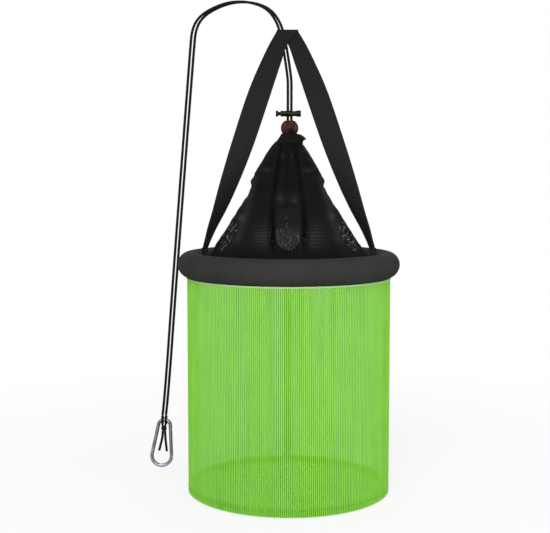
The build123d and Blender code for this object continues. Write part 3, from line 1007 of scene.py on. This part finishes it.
# the two front folds: height, left and right place across, depth and width in millimetres
frontFolds = (
    (16.0, -17.6, 18.0, 0.0, 3.4), (24.0, -18.6, 19.0, 2.6, 3.0), (31.0, -19.2, 19.8, 6.2, 2.4),
    (38.0, -19.5, 20.0, 7.4, 2.3), (50.0, -19.6, 19.6, 7.0, 2.3), (69.0, -19.5, 18.6, 5.6, 2.9),
    (98.0, -16.0, 15.3, 5.2, 2.5), (128.0, -11.2, 11.4, 4.0, 1.7), (147.0, -8.2, 8.6, 2.4, 1.3),
)
# small folds on the front: place across and height, its sizes across and up, how far it stands out
smallFolds = (
    (-25.1, 112.2, 7.5, 3.0, 2.0), (23.0, 111.5, 7.5, 3.0, 2.0),
    (-25.5, 105.5, 9.0, 3.2, -1.0), (23.5, 105.0, 9.0, 3.2, -1.0),
    (-9.5, 80.0, 4.6, 6.0, 1.3), (7.1, 78.0, 4.8, 6.5, 1.4), (-1.6, 79.0, 1.6, 8.0, -1.2),
    (-6.2, 129.0, 1.8, 3.4, 0.9), (4.2, 129.7, 1.8, 3.4, 0.9),
    (-55.0, 56.5, 5.0, 4.0, 1.4), (50.0, 58.0, 5.0, 4.0, 1.4),
)
# the middle fold between them: how round it is, the arc over the tongue, the tongue itself,
# the hollow under it, and the groove that leans down from the hem
middleFold = {
    "round": 1.8,
    "arcTop": 70.1,
    "arcBend": 0.0137,
    "arcOut": 1.6,
    "arcGroove": 2.0,
    "tongueOut": 4.6,
    "lowHollow": 2.2,
    "groove": 1.5,
    "grooveWide": 1.5,
    "grooveAt": (-0.4, 122.6),
    "grooveLean": 0.1,
}
# short pleats under the hem: place across at the height of 136, how deep, wide and spread
topPleats = (-9.0, -1.6, 6.1)
pleatShape = (1.7, 1.15, 0.012)
# steps in the outline at the sides: height, size and how far it stands out
outlineSteps = ((99.5, 3.2, 1.1), (92.5, 3.0, -0.9))
# wrinkles of three sizes: pace across and up, shift and depth
wrinkleSizes = ((0.11, 0.11, 0, 0.55), (0.05, 0.16, 7, 0.75), (0.3, 0.12, 0, 0.35))
# crumpled places beside the tongue: across and height
crumpledSpots = ((-19.6, 38), (20.2, 38))
# shades of the cloth, shares from 0 to 1, mostly painted light: painted highlights on the ridges
# and folds, painted sheen low on the ribbed sides, painted shade in the hollows; and where the
# ridges and hollows run
coverShades = {
    "crumpledTongue": 0.22,
    "crumpledOver": 0.35,
    "crumpledSpots": 0.4,
    "wearAndPaintedLight": 0.07,
    "ridgeHighlights": 0.42,
    "ridgeAt": (38.5, 103.9),
    "ridgeLean": 0.272,
    "sideLight": 0.12,
    "lowSheen": 0.46,
    "lowAt": (29, 36),
    "foldHighlights": 0.44,
    "tongueLight": 0.13,
    "tongueLightLow": 0.24,
    "hollows": (-19.4, 19.6),
    "shadeInHollows": 0.9,
    "lessInFront": 0.10,
    "ribbed": 0.22,
    "ribbedSides": 0.78,
}


def frontAngle(u):
    # degrees from the front, with more of the rows there than at the back
    turn = 360 * (u - cover["frontShare"] * sin(2 * pi * u) / (2 * pi))
    return (turn + 180) % 360 - 180


def tongueShare(middle, height):
    # 1 on the tongue, 0 beside it
    foot = cover["tongueFoot"]
    half = cover["tongueHalf"] * min(1, max(0, (height - foot) / 13)) ** 0.55
    share = fall(abs(middle - cover["tongueMiddle"]), half, 2.6)
    return share * between(height, foot, 4, cover["tongueTop"], 5)


def profileRadius(height):
    return alongRows(coverProfile, max(6, min(146, height)))


def patchShare(front, height):
    # 1 on the two black patches
    across = radians(abs(front) - cover["patchAngle"]) * profileRadius(height)
    across -= (height - 36) * cover["patchLean"]
    up = height - cover["patchHeight"]
    return fall(hypot(across / cover["patchWide"], up / cover["patchTall"]), 1.0, 0.2)


def creaseShare(middle, height):
    # how much the cloth is crumpled on the tongue, over it and beside it
    low = tongueShare(middle, height) * fall(height, 50, 8)
    over = hill(middle + 1.5, 1.5) * between(height, 44, 5, 62, 5)
    beside = max(mound(middle - place, height - up, 2.2, 7) for place, up in crumpledSpots)
    return max(
        coverShades["crumpledTongue"] * low, coverShades["crumpledOver"] * over,
        coverShades["crumpledSpots"] * beside,
    )


def paintedLightPlace(middle, height):
    # painted light and shade: the cloth is painted paler on the folds that stand out, as painted
    # highlights and sheen, least in the hollows, as painted shade, and none at the foot
    shades, side = coverShades, abs(middle)
    ridge, ridgeHeight = shades["ridgeAt"]
    ridge += (ridgeHeight - height) * shades["ridgeLean"]
    lowSide, lowHeight = shades["lowAt"]
    wearAndPaintedLight = shades["wearAndPaintedLight"]
    wearAndPaintedLight += shades["ridgeHighlights"] * hill(side - ridge, 5.6) * between(height, 20, 14, 112, 12)
    wearAndPaintedLight += shades["sideLight"] * rise(side, ridge, 5) * fall(height, 100, 10)
    wearAndPaintedLight += shades["lowSheen"] * mound(side - lowSide, height - lowHeight, 13, 15)
    for place, up, wide, tall, out in smallFolds:
        if out > 0:
            fold = mound(middle - place, height - up, wide * 0.9, tall * 0.9)
            wearAndPaintedLight += shades["foldHighlights"] * fold
    tongue = shades["tongueLight"] + shades["tongueLightLow"] * fall(height, 52, 14)
    wearAndPaintedLight += tongueShare(middle, height) * tongue
    hollow = max(hill(middle - place, 4.0) for place in shades["hollows"])
    wearAndPaintedLight *= 1 - shades["shadeInHollows"] * hollow * fall(height, 96, 40)
    wearAndPaintedLight *= rise(height, 13, 16)
    wearAndPaintedLight -= shades["lessInFront"] * hill(side, 14) * rise(height, 82, 12)
    return min(1, max(0, wearAndPaintedLight))


def ribbedPlace(middle, height):
    low = between(height, 9, 8, 70, 18) * (1 - tongueShare(middle, height))
    sides = hill(abs(middle) - 30, 14)
    return low * (coverShades["ribbed"] + coverShades["ribbedSides"] * sides)


def frontFold(middle, height):
    # how far the front stands out: two deep folds, the middle fold between them, small ones on it
    folds = alongRows(frontFolds, height) if height > 16 else (-17, 17, 0, 3)
    left, right, depth, width = folds
    out = 0.0
    for edge in (left, right):
        out -= depth * exp(-((abs(middle - edge) / width) ** 1.5))
    if left < middle < right:
        fold = middleFold
        share = (middle - (left + right) / 2) / ((right - left) / 2)
        out += fold["round"] * (1 - share * share) * between(height, 60, 12, 150, 20)
        arc = fold["arcTop"] - fold["arcBend"] * middle**2
        inside = fall(abs(middle), 15, 4)
        out += fold["arcOut"] * between(height, 42, 14, arc, 1.3) * inside
        out -= fold["arcGroove"] * hill(height - arc - 1.8, 1.5) * inside
        out -= fold["lowHollow"] * between(height, 14, 9, 52, 12)
        out += fold["tongueOut"] * tongueShare(middle, height) * fall(height, 58, 14)
        place, up = fold["grooveAt"]
        centre = place - (up - height) * fold["grooveLean"]
        groove = hill(middle - centre, fold["grooveWide"]) * between(height, 85, 8, 142, 10)
        out -= fold["groove"] * groove
    for place, up, wide, tall, stand in smallFolds:
        out += stand * mound(middle - place, height - up, wide, tall)
    depth, wide, spread = pleatShape
    for place in topPleats:
        centre = place * (1 + (136 - height) * spread)
        out -= depth * hill(middle - centre, wide) * rise(height, 123, 8)
    return out


def softWrinkles(spot):
    # none at the foot and the top
    wrinkles = 0.0
    for across, up, shift, depth in wrinkleSizes:
        place = Vector((spot.x * across, spot.y * across, spot.z * up + shift))
        wrinkles += depth * noise.noise(place)
    return between(spot.z, 8, 14, 150, 10) * wrinkles


def coverPoint(u, v):
    front = frontAngle(u)
    turn = radians(front) - pi / 2
    if v < cover["skirt"]:
        radius, height = alongRows(skirtProfile, v / cover["skirt"])
        return onRing(turn, radius, height) * mm
    up = (v - cover["skirt"]) / (1 - cover["skirt"])
    height = cover["foot"] + (cover["top"] - cover["foot"]) * up
    radius = alongRows(coverProfile, height)
    depth, sharp = alongRows(coverFolds, height)
    out = 0.0
    for angle, share in sideFolds:
        off = radians((front - angle + 180) % 360 - 180) * radius
        wide = cover["foldWide"] + cover["foldSpread"] * radius
        out -= depth * share * exp(-((abs(off) / wide) ** (1.5 * sharp)))
    middle = radius * sin(radians(front))
    if abs(front) < cover["front"]:
        out += frontFold(middle, height)
    # gathers round the rest of the top
    gather = rise(height, 122, 22) * rise(abs(front), 35, 20)
    waves = sin(radians(front) * cover["gathers"] + 0.8 * sin(radians(front) * 3))
    out += cover["gatherDepth"] * gather * waves
    for up, tall, step in outlineSteps:
        out += step * hill(height - up, tall) * rise(abs(front), 45, 25)
    spot = onRing(turn, radius, height)
    out += softWrinkles(spot)
    creased = patchShare(front, height)
    if abs(front) < cover["front"]:
        creased = max(creased, creaseShare(middle, height))
    if creased > 0.01:
        small = abs(noise.noise(spot * 0.62 + Vector((9, 3, 1))))
        fold = abs(noise.noise(spot * 0.30)) + 0.5 * small
        out += creased * (cover["crumpleLift"] - cover["crumpleDepth"] * fold)
    shift = cover["shift"] * between(height, 10, 18, 154, 12)
    return (onRing(turn, radius + out, height) + Vector((shift, 0, 0))) * mm


coverCloth = clothGrid("coverCloth", cover["grid"], coverPoint)
shadeNames = ("creased", "patched", "wearAndPaintedLight", "ribbed")
for key in shadeNames:
    coverCloth.data.attributes.new(key, "FLOAT", "POINT")
shades = {key: coverCloth.data.attributes[key].data for key in shadeNames}
shares = {}
for loop in coverCloth.data.loops:
    corner = coverCloth.data.uv_layers[0].data[loop.index]
    share, way = corner.uv
    shares[loop.vertex_index] = share
    share -= cover["frontShare"] * sin(2 * pi * share) / (2 * pi)
    corner.uv = (share * cover["map"][0], way * cover["map"][1])
for n, share in shares.items():
    front = frontAngle(share)
    height = coverCloth.data.vertices[n].co.z / mm
    middle = profileRadius(height) * sin(radians(front))
    if abs(front) > cover["front"]:
        # the back is shaded as the sides are
        middle = 60 if front > 0 else -60
    if height > cover["shadedFrom"]:
        patched = patchShare(front, height)
        shades["patched"][n].value = patched
        shades["creased"][n].value = max(patched, creaseShare(middle, height))
        # the painted light and shade of the cloth, for each point
        shades["wearAndPaintedLight"][n].value = paintedLightPlace(middle, height)
        shades["ribbed"][n].value = ribbedPlace(middle, height) * (1 - patched)
thicken(coverCloth, cover["cloth"], offset=-1)
finishPiece(coverCloth, nylon, "black_cloth", "net_top", "cover", angle=60)
print("keep net: cover made")


# hem at the mouth of the cover, with its loose flap on the right

# in millimetres, but cloth is in metres
hem = {
    "grid": (200, 30),
    "map": (90, 24),
    "cloth": 0.7 * mm,
    "wearAndPaintedLight": 0.12,
    "pleats": 13,
    "pleatDepth": 0.8,
    "flapTip": 8.7,
    "flapWidth": 0.55,
    "flapDrop": (0.3, 1.6),
    "waves": 0.3,
    "shift": 0.3,
}
# share of the way over the hem, radius and height in millimetres, share of the pleats and
# of the flap
hemProfile = (
    (0.00, 16.2, 143.4, 0.5, 0.0),
    (0.16, 14.0, 146.4, 0.8, 0.25),
    (0.30, 12.0, 149.0, 1.0, 0.85),
    (0.42, 10.6, 151.2, 0.8, 1.00),
    (0.54, 9.5, 153.4, 0.5, 0.88),
    (0.64, 8.8, 154.8, 0.2, 0.62),
    (0.72, 8.2, 155.2, 0.15, 0.20),
    (0.80, 7.9, 154.2, 0.1, 0.05),
    (0.90, 7.5, 151.4, 0.1, 0.0),
    (1.00, 7.4, 147.6, 0.2, 0.0),
)


def hemPoint(u, v):
    turn = 2 * pi * u
    radius, height, pleat, flap = alongRows(hemProfile, v)
    toRight = (turn + pi) % (2 * pi) - pi
    radius += pleat * hem["pleatDepth"] * sin(hem["pleats"] * turn + 1.2 * sin(2 * turn))
    reach = flap * hill(toRight, hem["flapWidth"])
    radius += hem["flapTip"] * reach
    drop, dropPast = hem["flapDrop"]
    height -= reach * (drop + dropPast * rise(v, 0.26, 0.16))
    height += hem["waves"] * sin(5 * turn + 1) * pleat
    return (onRing(turn, radius, height) + Vector((hem["shift"], 0, 0))) * mm


coverHem = clothGrid("coverHem", hem["grid"], hemPoint)
scaleUv(coverHem, *hem["map"])
hemWorn = coverHem.data.attributes.new("wearAndPaintedLight", "FLOAT", "POINT")
for value in hemWorn.data:
    value.value = hem["wearAndPaintedLight"]
thicken(coverHem, hem["cloth"])
finishPiece(coverHem, nylon, "black_cloth", "net_top", "cover_hem", angle=60)

loopLow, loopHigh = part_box("drawstring_loop")
loopRadius = (loopHigh.x - loopLow.x) / 2 - cordRadius
loopLine = ringLine((loopLow + loopHigh) / 2, Vector((1, 0, 0)), Vector((0, 1, 0)), loopRadius)
drawstringLoop = braidedCord("drawstringLoop", loopLine, cordRadius, closed=True)
finishPiece(drawstringLoop, braid, "black_cord", "net_top", "drawstring_loop")
print("keep net: hem made")


# handle, one length of webbing folded over at the top

# in millimetres, but cloth and edge are in metres
strap = {
    "hinge": 20.0,
    "crease": 275.65,
    "out": 98.2,
    "shift": -1.6,
    "layer": 1.05,
    "partFrom": 0.08,
    "partRun": 0.2,
    "width": 26.0,
    "cloth": 1.7 * mm,
    "edge": 0.45 * mm,
    "grid": (20, 390),
    "bendRows": 10,
    "map": (26, 595),
}
# shares of the height, of the way out and of the webbing's width, and twist in degrees
strapStations = (
    (-0.086, 1.000, 1.00, 90.0),
    (-0.045, 1.012, 1.00, 87.0),
    (-0.009, 1.020, 1.00, 83.0),
    (0.006, 1.012, 1.00, 80.0),
    (0.031, 0.990, 1.00, 78.0),
    (0.090, 0.934, 1.02, 70.0),
    (0.173, 0.843, 1.03, 57.0),
    (0.314, 0.707, 1.04, 35.0),
    (0.500, 0.537, 1.07, 12.0),
    (0.684, 0.375, 1.08, 4.0),
    (0.776, 0.288, 1.03, 0.0),
    (0.858, 0.203, 0.94, 0.0),
    (0.931, 0.124, 0.83, 0.0),
    (0.967, 0.068, 0.85, 0.0),
    (1.000, 0.000, 0.973, 0.0),
)


def strapCross(side, up):
    # middle of the webbing and its direction across, on one leg
    out, wide, twist = alongRows(strapStations, up)
    height = strap["hinge"] + up * (strap["crease"] - strap["hinge"])
    x = side * strap["out"] * out + strap["shift"] * (1 - out)
    apart = (out - strap["partFrom"]) / strap["partRun"]
    y = side * strap["layer"] * min(1, max(0, 1 - apart))
    half = onRing(radians(-side * twist), strap["width"] * wide / 2)
    return Vector((x, y, height)), half


strapRows = strap["grid"][1]
legRows = (strapRows - strap["bendRows"]) / 2


def legPoint(side, rowsUp, u):
    foot = strapStations[0][0]
    middle, half = strapCross(side, foot + (1 - foot) * rowsUp / legRows)
    return (middle + half * (2 * u - 1)) * mm


def strapPoint(u, v):
    row = v * strapRows
    if row <= legRows:
        return legPoint(-1, row, u)
    if row >= strapRows - legRows:
        return legPoint(1, strapRows - row, u)
    turn = pi * (row - legRows) / strap["bendRows"]
    middle, half = strapCross(-1, 1.0)
    bend = Vector((0, 1 - cos(turn), sin(turn))) * strap["layer"]
    return (middle + bend + half * (2 * u - 1)) * mm


handleStrap = clothPiece(
    "handleStrap", strap, strapPoint, webbing, "webbing", None, "handle_strap", closed=False,
)
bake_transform(handleStrap)

tabShape = {
    "out": 1.6 * mm,
    "cloth": 1.3 * mm,
    "edge": 0.4 * mm,
    "grid": (14, 12),
    "map": (25, 23),
    "stitches": 18,
    "stitchLength": 0.9 * mm,
    "stitchOut": -0.9 * mm,
    "thread": 0.45 * mm,
    # ends of the stitched lines, across and up in millimetres
    "seams": (
        ((-9.5, 0.5), (9.5, 0.5)), ((-9.5, 15.5), (9.5, 15.5)),
        ((-9.5, 0.5), (9.5, 15.5)), ((-9.5, 15.5), (9.5, 0.5)),
    ),
}


def tabPlace(side, across, height, lift):
    # a point against the webbing, its place across and height in metres, lifted to the float
    up = (height / mm - strap["hinge"]) / (strap["crease"] - strap["hinge"])
    middle, half = strapCross(side, up)
    along = half.normalized() * (1 if half.y > 0 else -1)
    outward = Vector((along.y, -along.x, 0)) * side
    return middle * mm + along * across + outward * lift


for side, tabName, tabNode in (
    (-1, "anchorLeft", "strap_anchor_left"), (1, "anchorRight", "strap_anchor_right"),
):
    tabLow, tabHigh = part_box(tabNode)

    def tabPoint(u, v):
        across = tabLow.y + (tabHigh.y - tabLow.y) * u
        return tabPlace(side, across, tabLow.z + (tabHigh.z - tabLow.z) * v, tabShape["out"])

    clothPiece(tabName, tabShape, tabPoint, webbing, "webbing", "net_top", tabNode, closed=False)
    tabSpots = []
    for n in range(tabShape["stitches"]):
        share = (n + 0.5) / tabShape["stitches"]
        for start, end in tabShape["seams"]:
            y, z = (a + (b - a) * share for a, b in zip(start, end))
            run = Vector((0, end[0] - start[0], end[1] - start[1])).normalized()
            spot = tabPlace(side, y * mm, z * mm, tabShape["stitchOut"])
            tabSpots.append((spot, run * tabShape["stitchLength"], Vector((-side, 0, 0))))
    stitches = stitchRow(
        tabName + "Stitches", tabSpots, tabShape["thread"], stitchBlack, None, "webbing",
    )
    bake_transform(stitches)
print("keep net: handle made")


# bead, turned from wood

beadLow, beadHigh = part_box("bead")
bead = {
    "middle": (beadLow + beadHigh) / 2,
    "radius": (beadHigh.x - beadLow.x) / 2 - 0.06 * mm,
    "half": (beadHigh.z - beadLow.z) / 2,
    "nearEnd": 0.01 * mm,
    "hole": 4.1 * mm,
    "rim": 4.7 * mm,
    "sink": 0.5 * mm,
    "segments": 72,
    "rings": 48,
    "edge": 0.35 * mm,
    "wallCuts": 6,
}
selectNone()
bpy.ops.mesh.primitive_uv_sphere_add(
    segments=bead["segments"], ring_count=bead["rings"],
    radius=bead["radius"], location=bead["middle"],
)
woodBead = rename(bpy.context.object, "woodBead")
for side in (-1, 1):
    # the flat end, then its rim drawn in to the hole
    openEdit(woodBead)
    bpy.ops.mesh.bisect(
        plane_co=bead["middle"] + Vector((0, 0, side * bead["half"])),
        plane_no=(0, 0, side), clear_outer=True,
    )
    bpy.ops.mesh.select_all(action="DESELECT")
    closeEdit()
    for vertex in woodBead.data.vertices:
        vertex.select = side * vertex.co.z > bead["half"] - bead["nearEnd"]
    for edge in woodBead.data.edges:
        edge.select = all(woodBead.data.vertices[n].select for n in edge.vertices)
    endRadius = sqrt(bead["radius"] ** 2 - bead["half"] ** 2)
    bpy.ops.object.mode_set(mode="EDIT")
    toRim, toHole = bead["rim"] / endRadius, bead["hole"] / bead["rim"]
    for wide, sink in ((toRim, 0), (toHole, bead["sink"])):
        bpy.ops.mesh.extrude_region_move(TRANSFORM_OT_translate={"value": (0, 0, -side * sink)})
        bpy.ops.transform.resize(value=(wide, wide, 1), center_override=bead["middle"])
    closeEdit()
openEdit(woodBead)
bpy.ops.mesh.select_all(action="DESELECT")
bpy.ops.mesh.select_non_manifold()
bpy.ops.mesh.bridge_edge_loops(number_cuts=bead["wallCuts"])
bpy.ops.mesh.select_all(action="SELECT")
bpy.ops.mesh.normals_make_consistent(inside=False)
closeEdit()
roundEdges(woodBead, bead["edge"], 35)
finishPiece(woodBead, beadWood, "dark_wood", "bead_body", "bead", angle=40)
print("keep net: bead made")


# cord ends at the hook: wraps, knot and tails

wrapLow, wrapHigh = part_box("cord_wraps")
wrapMiddle = (wrapLow + wrapHigh) / 2
wrapRadius = (wrapHigh.z - wrapLow.z) / 2 - cordRadius
wraps = []
for side in (-1, 1):
    middle = wrapMiddle + Vector((side * cordWays["pitch"] / 2 * mm, 0, 0))
    wrapLine = ringLine(middle, Vector((0, 1, 0)), Vector((0, 0, 1)), wrapRadius)
    seed = side * cordWays["plaitShift"]
    wraps.append(braidedCord("wrap", wrapLine, cordRadius, closed=True, seed=seed))
cordWraps = joinMeshes("cordWraps", wraps)
finishPiece(cordWraps, braid, "black_cord", "snap_hook", "cord_wraps")

knotLow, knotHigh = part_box("cord_knot")
knot = {
    "middle": (knotLow + knotHigh) / 2,
    "radius": (knotHigh.x - knotLow.x) / 2,
    "half": (knotHigh.z - knotLow.z) / 2,
    "turns": 2.6,
    "points": 110,
    "tucked": 0.65,
    "tuckShare": 0.10,
    "cord": 1.3 * mm,
    "core": 1.9 * mm,
    "corePoints": 10,
    "riser": 1.35 * mm,
    # from the front of the wraps down into the knot: across, away and up in millimetres
    "riserPoints": ((2.1, -3.9, -1.6), (2.1, -4.6, -4.4)),
    "riserEnd": (1.3, -1.6),
}
knotLine = []
for n in range(knot["points"]):
    t = n / (knot["points"] - 1)
    turn = 2 * pi * knot["turns"] * t - pi / 2
    tuck = between(t, 0, knot["tuckShare"], 1, knot["tuckShare"])
    share = knot["tucked"] + (1 - knot["tucked"]) * tuck
    height = (knot["half"] - knot["cord"] - 0.1 * mm) * (1 - 2 * t)
    radius = (knot["radius"] - knot["cord"]) * share
    knotLine.append(knot["middle"] + onRing(turn, radius, height))
knotCoil = braidedCord("knotCoil", evenLine(knotLine, cordWays["knotStep"]), knot["cord"])
coreLine = []
for n in range(knot["corePoints"]):
    share = 1 - 2 * n / (knot["corePoints"] - 1)
    coreLine.append(knot["middle"] + Vector((0, 0, share * (knot["half"] - 0.5 * mm))))
knotCore = braidedCord("knotCore", coreLine, knot["core"])
risers = []
for side in (-1, 1):
    riser = [wrapMiddle + Vector((side * x, y, z)) * mm for x, y, z in knot["riserPoints"]]
    riser.append(Vector((
        wrapMiddle.x + side * knot["riserEnd"][0] * mm,
        knot["middle"].y, knotHigh.z + knot["riserEnd"][1] * mm,
    )))
    riserLine = evenLine(routeLine(riser), cordWays["knotStep"])
    risers.append(braidedCord("riser", riserLine, knot["riser"]))
cordKnot = joinMeshes("cordKnot", [knotCoil, knotCore, *risers])
finishPiece(cordKnot, braid, "black_cord", "snap_hook", "cord_knot")

# from the bottom of the knot, across and up in millimetres
tailWays = (
    ("tailLeft", "cord_tail_left", ((-1.5, 0.4), (-1.5, -3.0), (-2.4, -10.0), (-6.0, -23.5))),
    ("tailRight", "cord_tail_right", ((1.5, 0.4), (1.5, -4.0), (1.9, -11.0), (3.3, -24.5))),
)
tailStart = Vector((knot["middle"].x, knot["middle"].y, knotLow.z - 0.3 * mm))
tails = []
for tailName, nodeName, points in tailWays:
    way = [tailStart + Vector((x, 0, z)) * mm for x, z in points]
    tailLine = evenLine(routeLine(way), cordWays["step"])
    tail = braidedCord(tailName, tailLine, cordRadius)
    finishPiece(tail, braid, "black_cord", "snap_hook", nodeName)
    tails.append(tail)
hookPieces = [cordWraps, cordKnot, *tails]
hookPieces += [nodes["hook_frame"], nodes["hook_gate"], nodes["gate_pin"]]
print("keep net: cord ends made")


# finishes of the hard pieces that come from the frame

hardFinishes = (
    (hookMetal, ("hook_frame", "hook_gate", "gate_pin")),
    (springSteel, ("gate_spring", "toggle_spring")),
    (bronze, ("toggle_barrel", "toggle_plunger")),
    (hoopSteel, ("top_hoop", "bottom_hoop", "top_hoop_ferrule", "bottom_hoop_ferrule")),
)
for material, nodeNames in hardFinishes:
    for nodeName in nodeNames:
        nodes[nodeName].data.materials.clear()
        nodes[nodeName].data.materials.append(material)
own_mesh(nodes["toggle_spring"])
print("keep net: hard pieces finished")


# floor, white surroundings and soft studio light

studio = {
    "floorDrop": 0.2 * mm,
    "floorSize": 30,
    "floorColor": (0.86, 0.86, 0.86, 1),
    "white": (1, 1, 1, 1),
    "worldLight": 0.5,
    "whiteFrom": (0.30, 0.85),
    "whiteShare": (0.8, 1.0),
    "lamps": (
        # name, place, size, power
        ("keyLamp", (-0.5, -2.35, 1.5), 1.4, 44),
        ("fillLamp", (0.5, -2.5, 0.5), 1.5, 22),
        ("glintLamp", (1.6, -0.7, 0.85), 0.3, 3.2),
        ("backLamp", (0.3, 2.2, 1.9), 1.6, 15),
    ),
    "aim": (0, 0, 0),
}


def seenDirectly(tree):
    # 1 for what the camera sees, also in mirrors and through glass
    rays = addNode(tree, "ShaderNodeLightPath").outputs
    either = calc("MAXIMUM", rays["Is Camera Ray"], rays["Is Glossy Ray"])
    return calc("MAXIMUM", either, rays["Is Transmission Ray"])


def surfaceMix(tree, share, first, second, outputName):
    mixed = addNode(tree, "ShaderNodeMixShader", {0: share, 1: first, 2: second})
    tree.links.new(mixed.outputs[0], tree.nodes[outputName].inputs["Surface"])


selectNone()
floorHeight = cadBox[0][2] - studio["floorDrop"]
bpy.ops.mesh.primitive_plane_add(size=studio["floorSize"], location=(0, 0, floorHeight))
floor = bpy.context.object
floor.name = "floor"
floorPaint = newMaterial("floorPaint", color=studio["floorColor"], rough=0.9, shine=0.1)
paintTree = floorPaint.node_tree
# the floor goes over to white away from the object, so no edge shows behind it
whiter = addNode(paintTree, "ShaderNodeMapRange", {
    "Value": vectorCalc("LENGTH", objectPlace(floorPaint), output="Value"),
    "From Min": studio["whiteFrom"][0], "From Max": studio["whiteFrom"][1],
    "To Min": studio["whiteShare"][0], "To Max": studio["whiteShare"][1],
}).outputs["Result"]
white = addNode(paintTree, "ShaderNodeEmission", {"Color": studio["white"], "Strength": 1.0})
surfaceMix(
    paintTree, times(seenDirectly(paintTree), whiter),
    paintTree.nodes["Principled BSDF"].outputs[0], white.outputs[0], "Material Output",
)
floor.data.materials.append(floorPaint)

world = bpy.data.worlds.new("studioWorld")
bpy.context.scene.world = world
world.use_nodes = True
worldTree = world.node_tree
sky = worldTree.nodes["Background"]
sky.inputs["Color"].default_value = studio["white"]
sky.inputs["Strength"].default_value = studio["worldLight"]
plain = addNode(worldTree, "ShaderNodeBackground", {"Color": studio["white"], "Strength": 1.0})
surfaceMix(
    worldTree, seenDirectly(worldTree), sky.outputs[0], plain.outputs[0], "World Output",
)

for lampName, place, size, power in studio["lamps"]:
    bpy.ops.object.light_add(type="AREA", location=place)
    lamp = bpy.context.object
    lamp.name = lampName
    lamp.data.size = size
    lamp.data.energy = power
    toward = Vector(studio["aim"]) - Vector(place)
    lamp.rotation_euler = toward.to_track_quat("-Z", "Y").to_euler()
bpy.context.scene.view_settings.view_transform = "Standard"
print("keep net: studio ready")
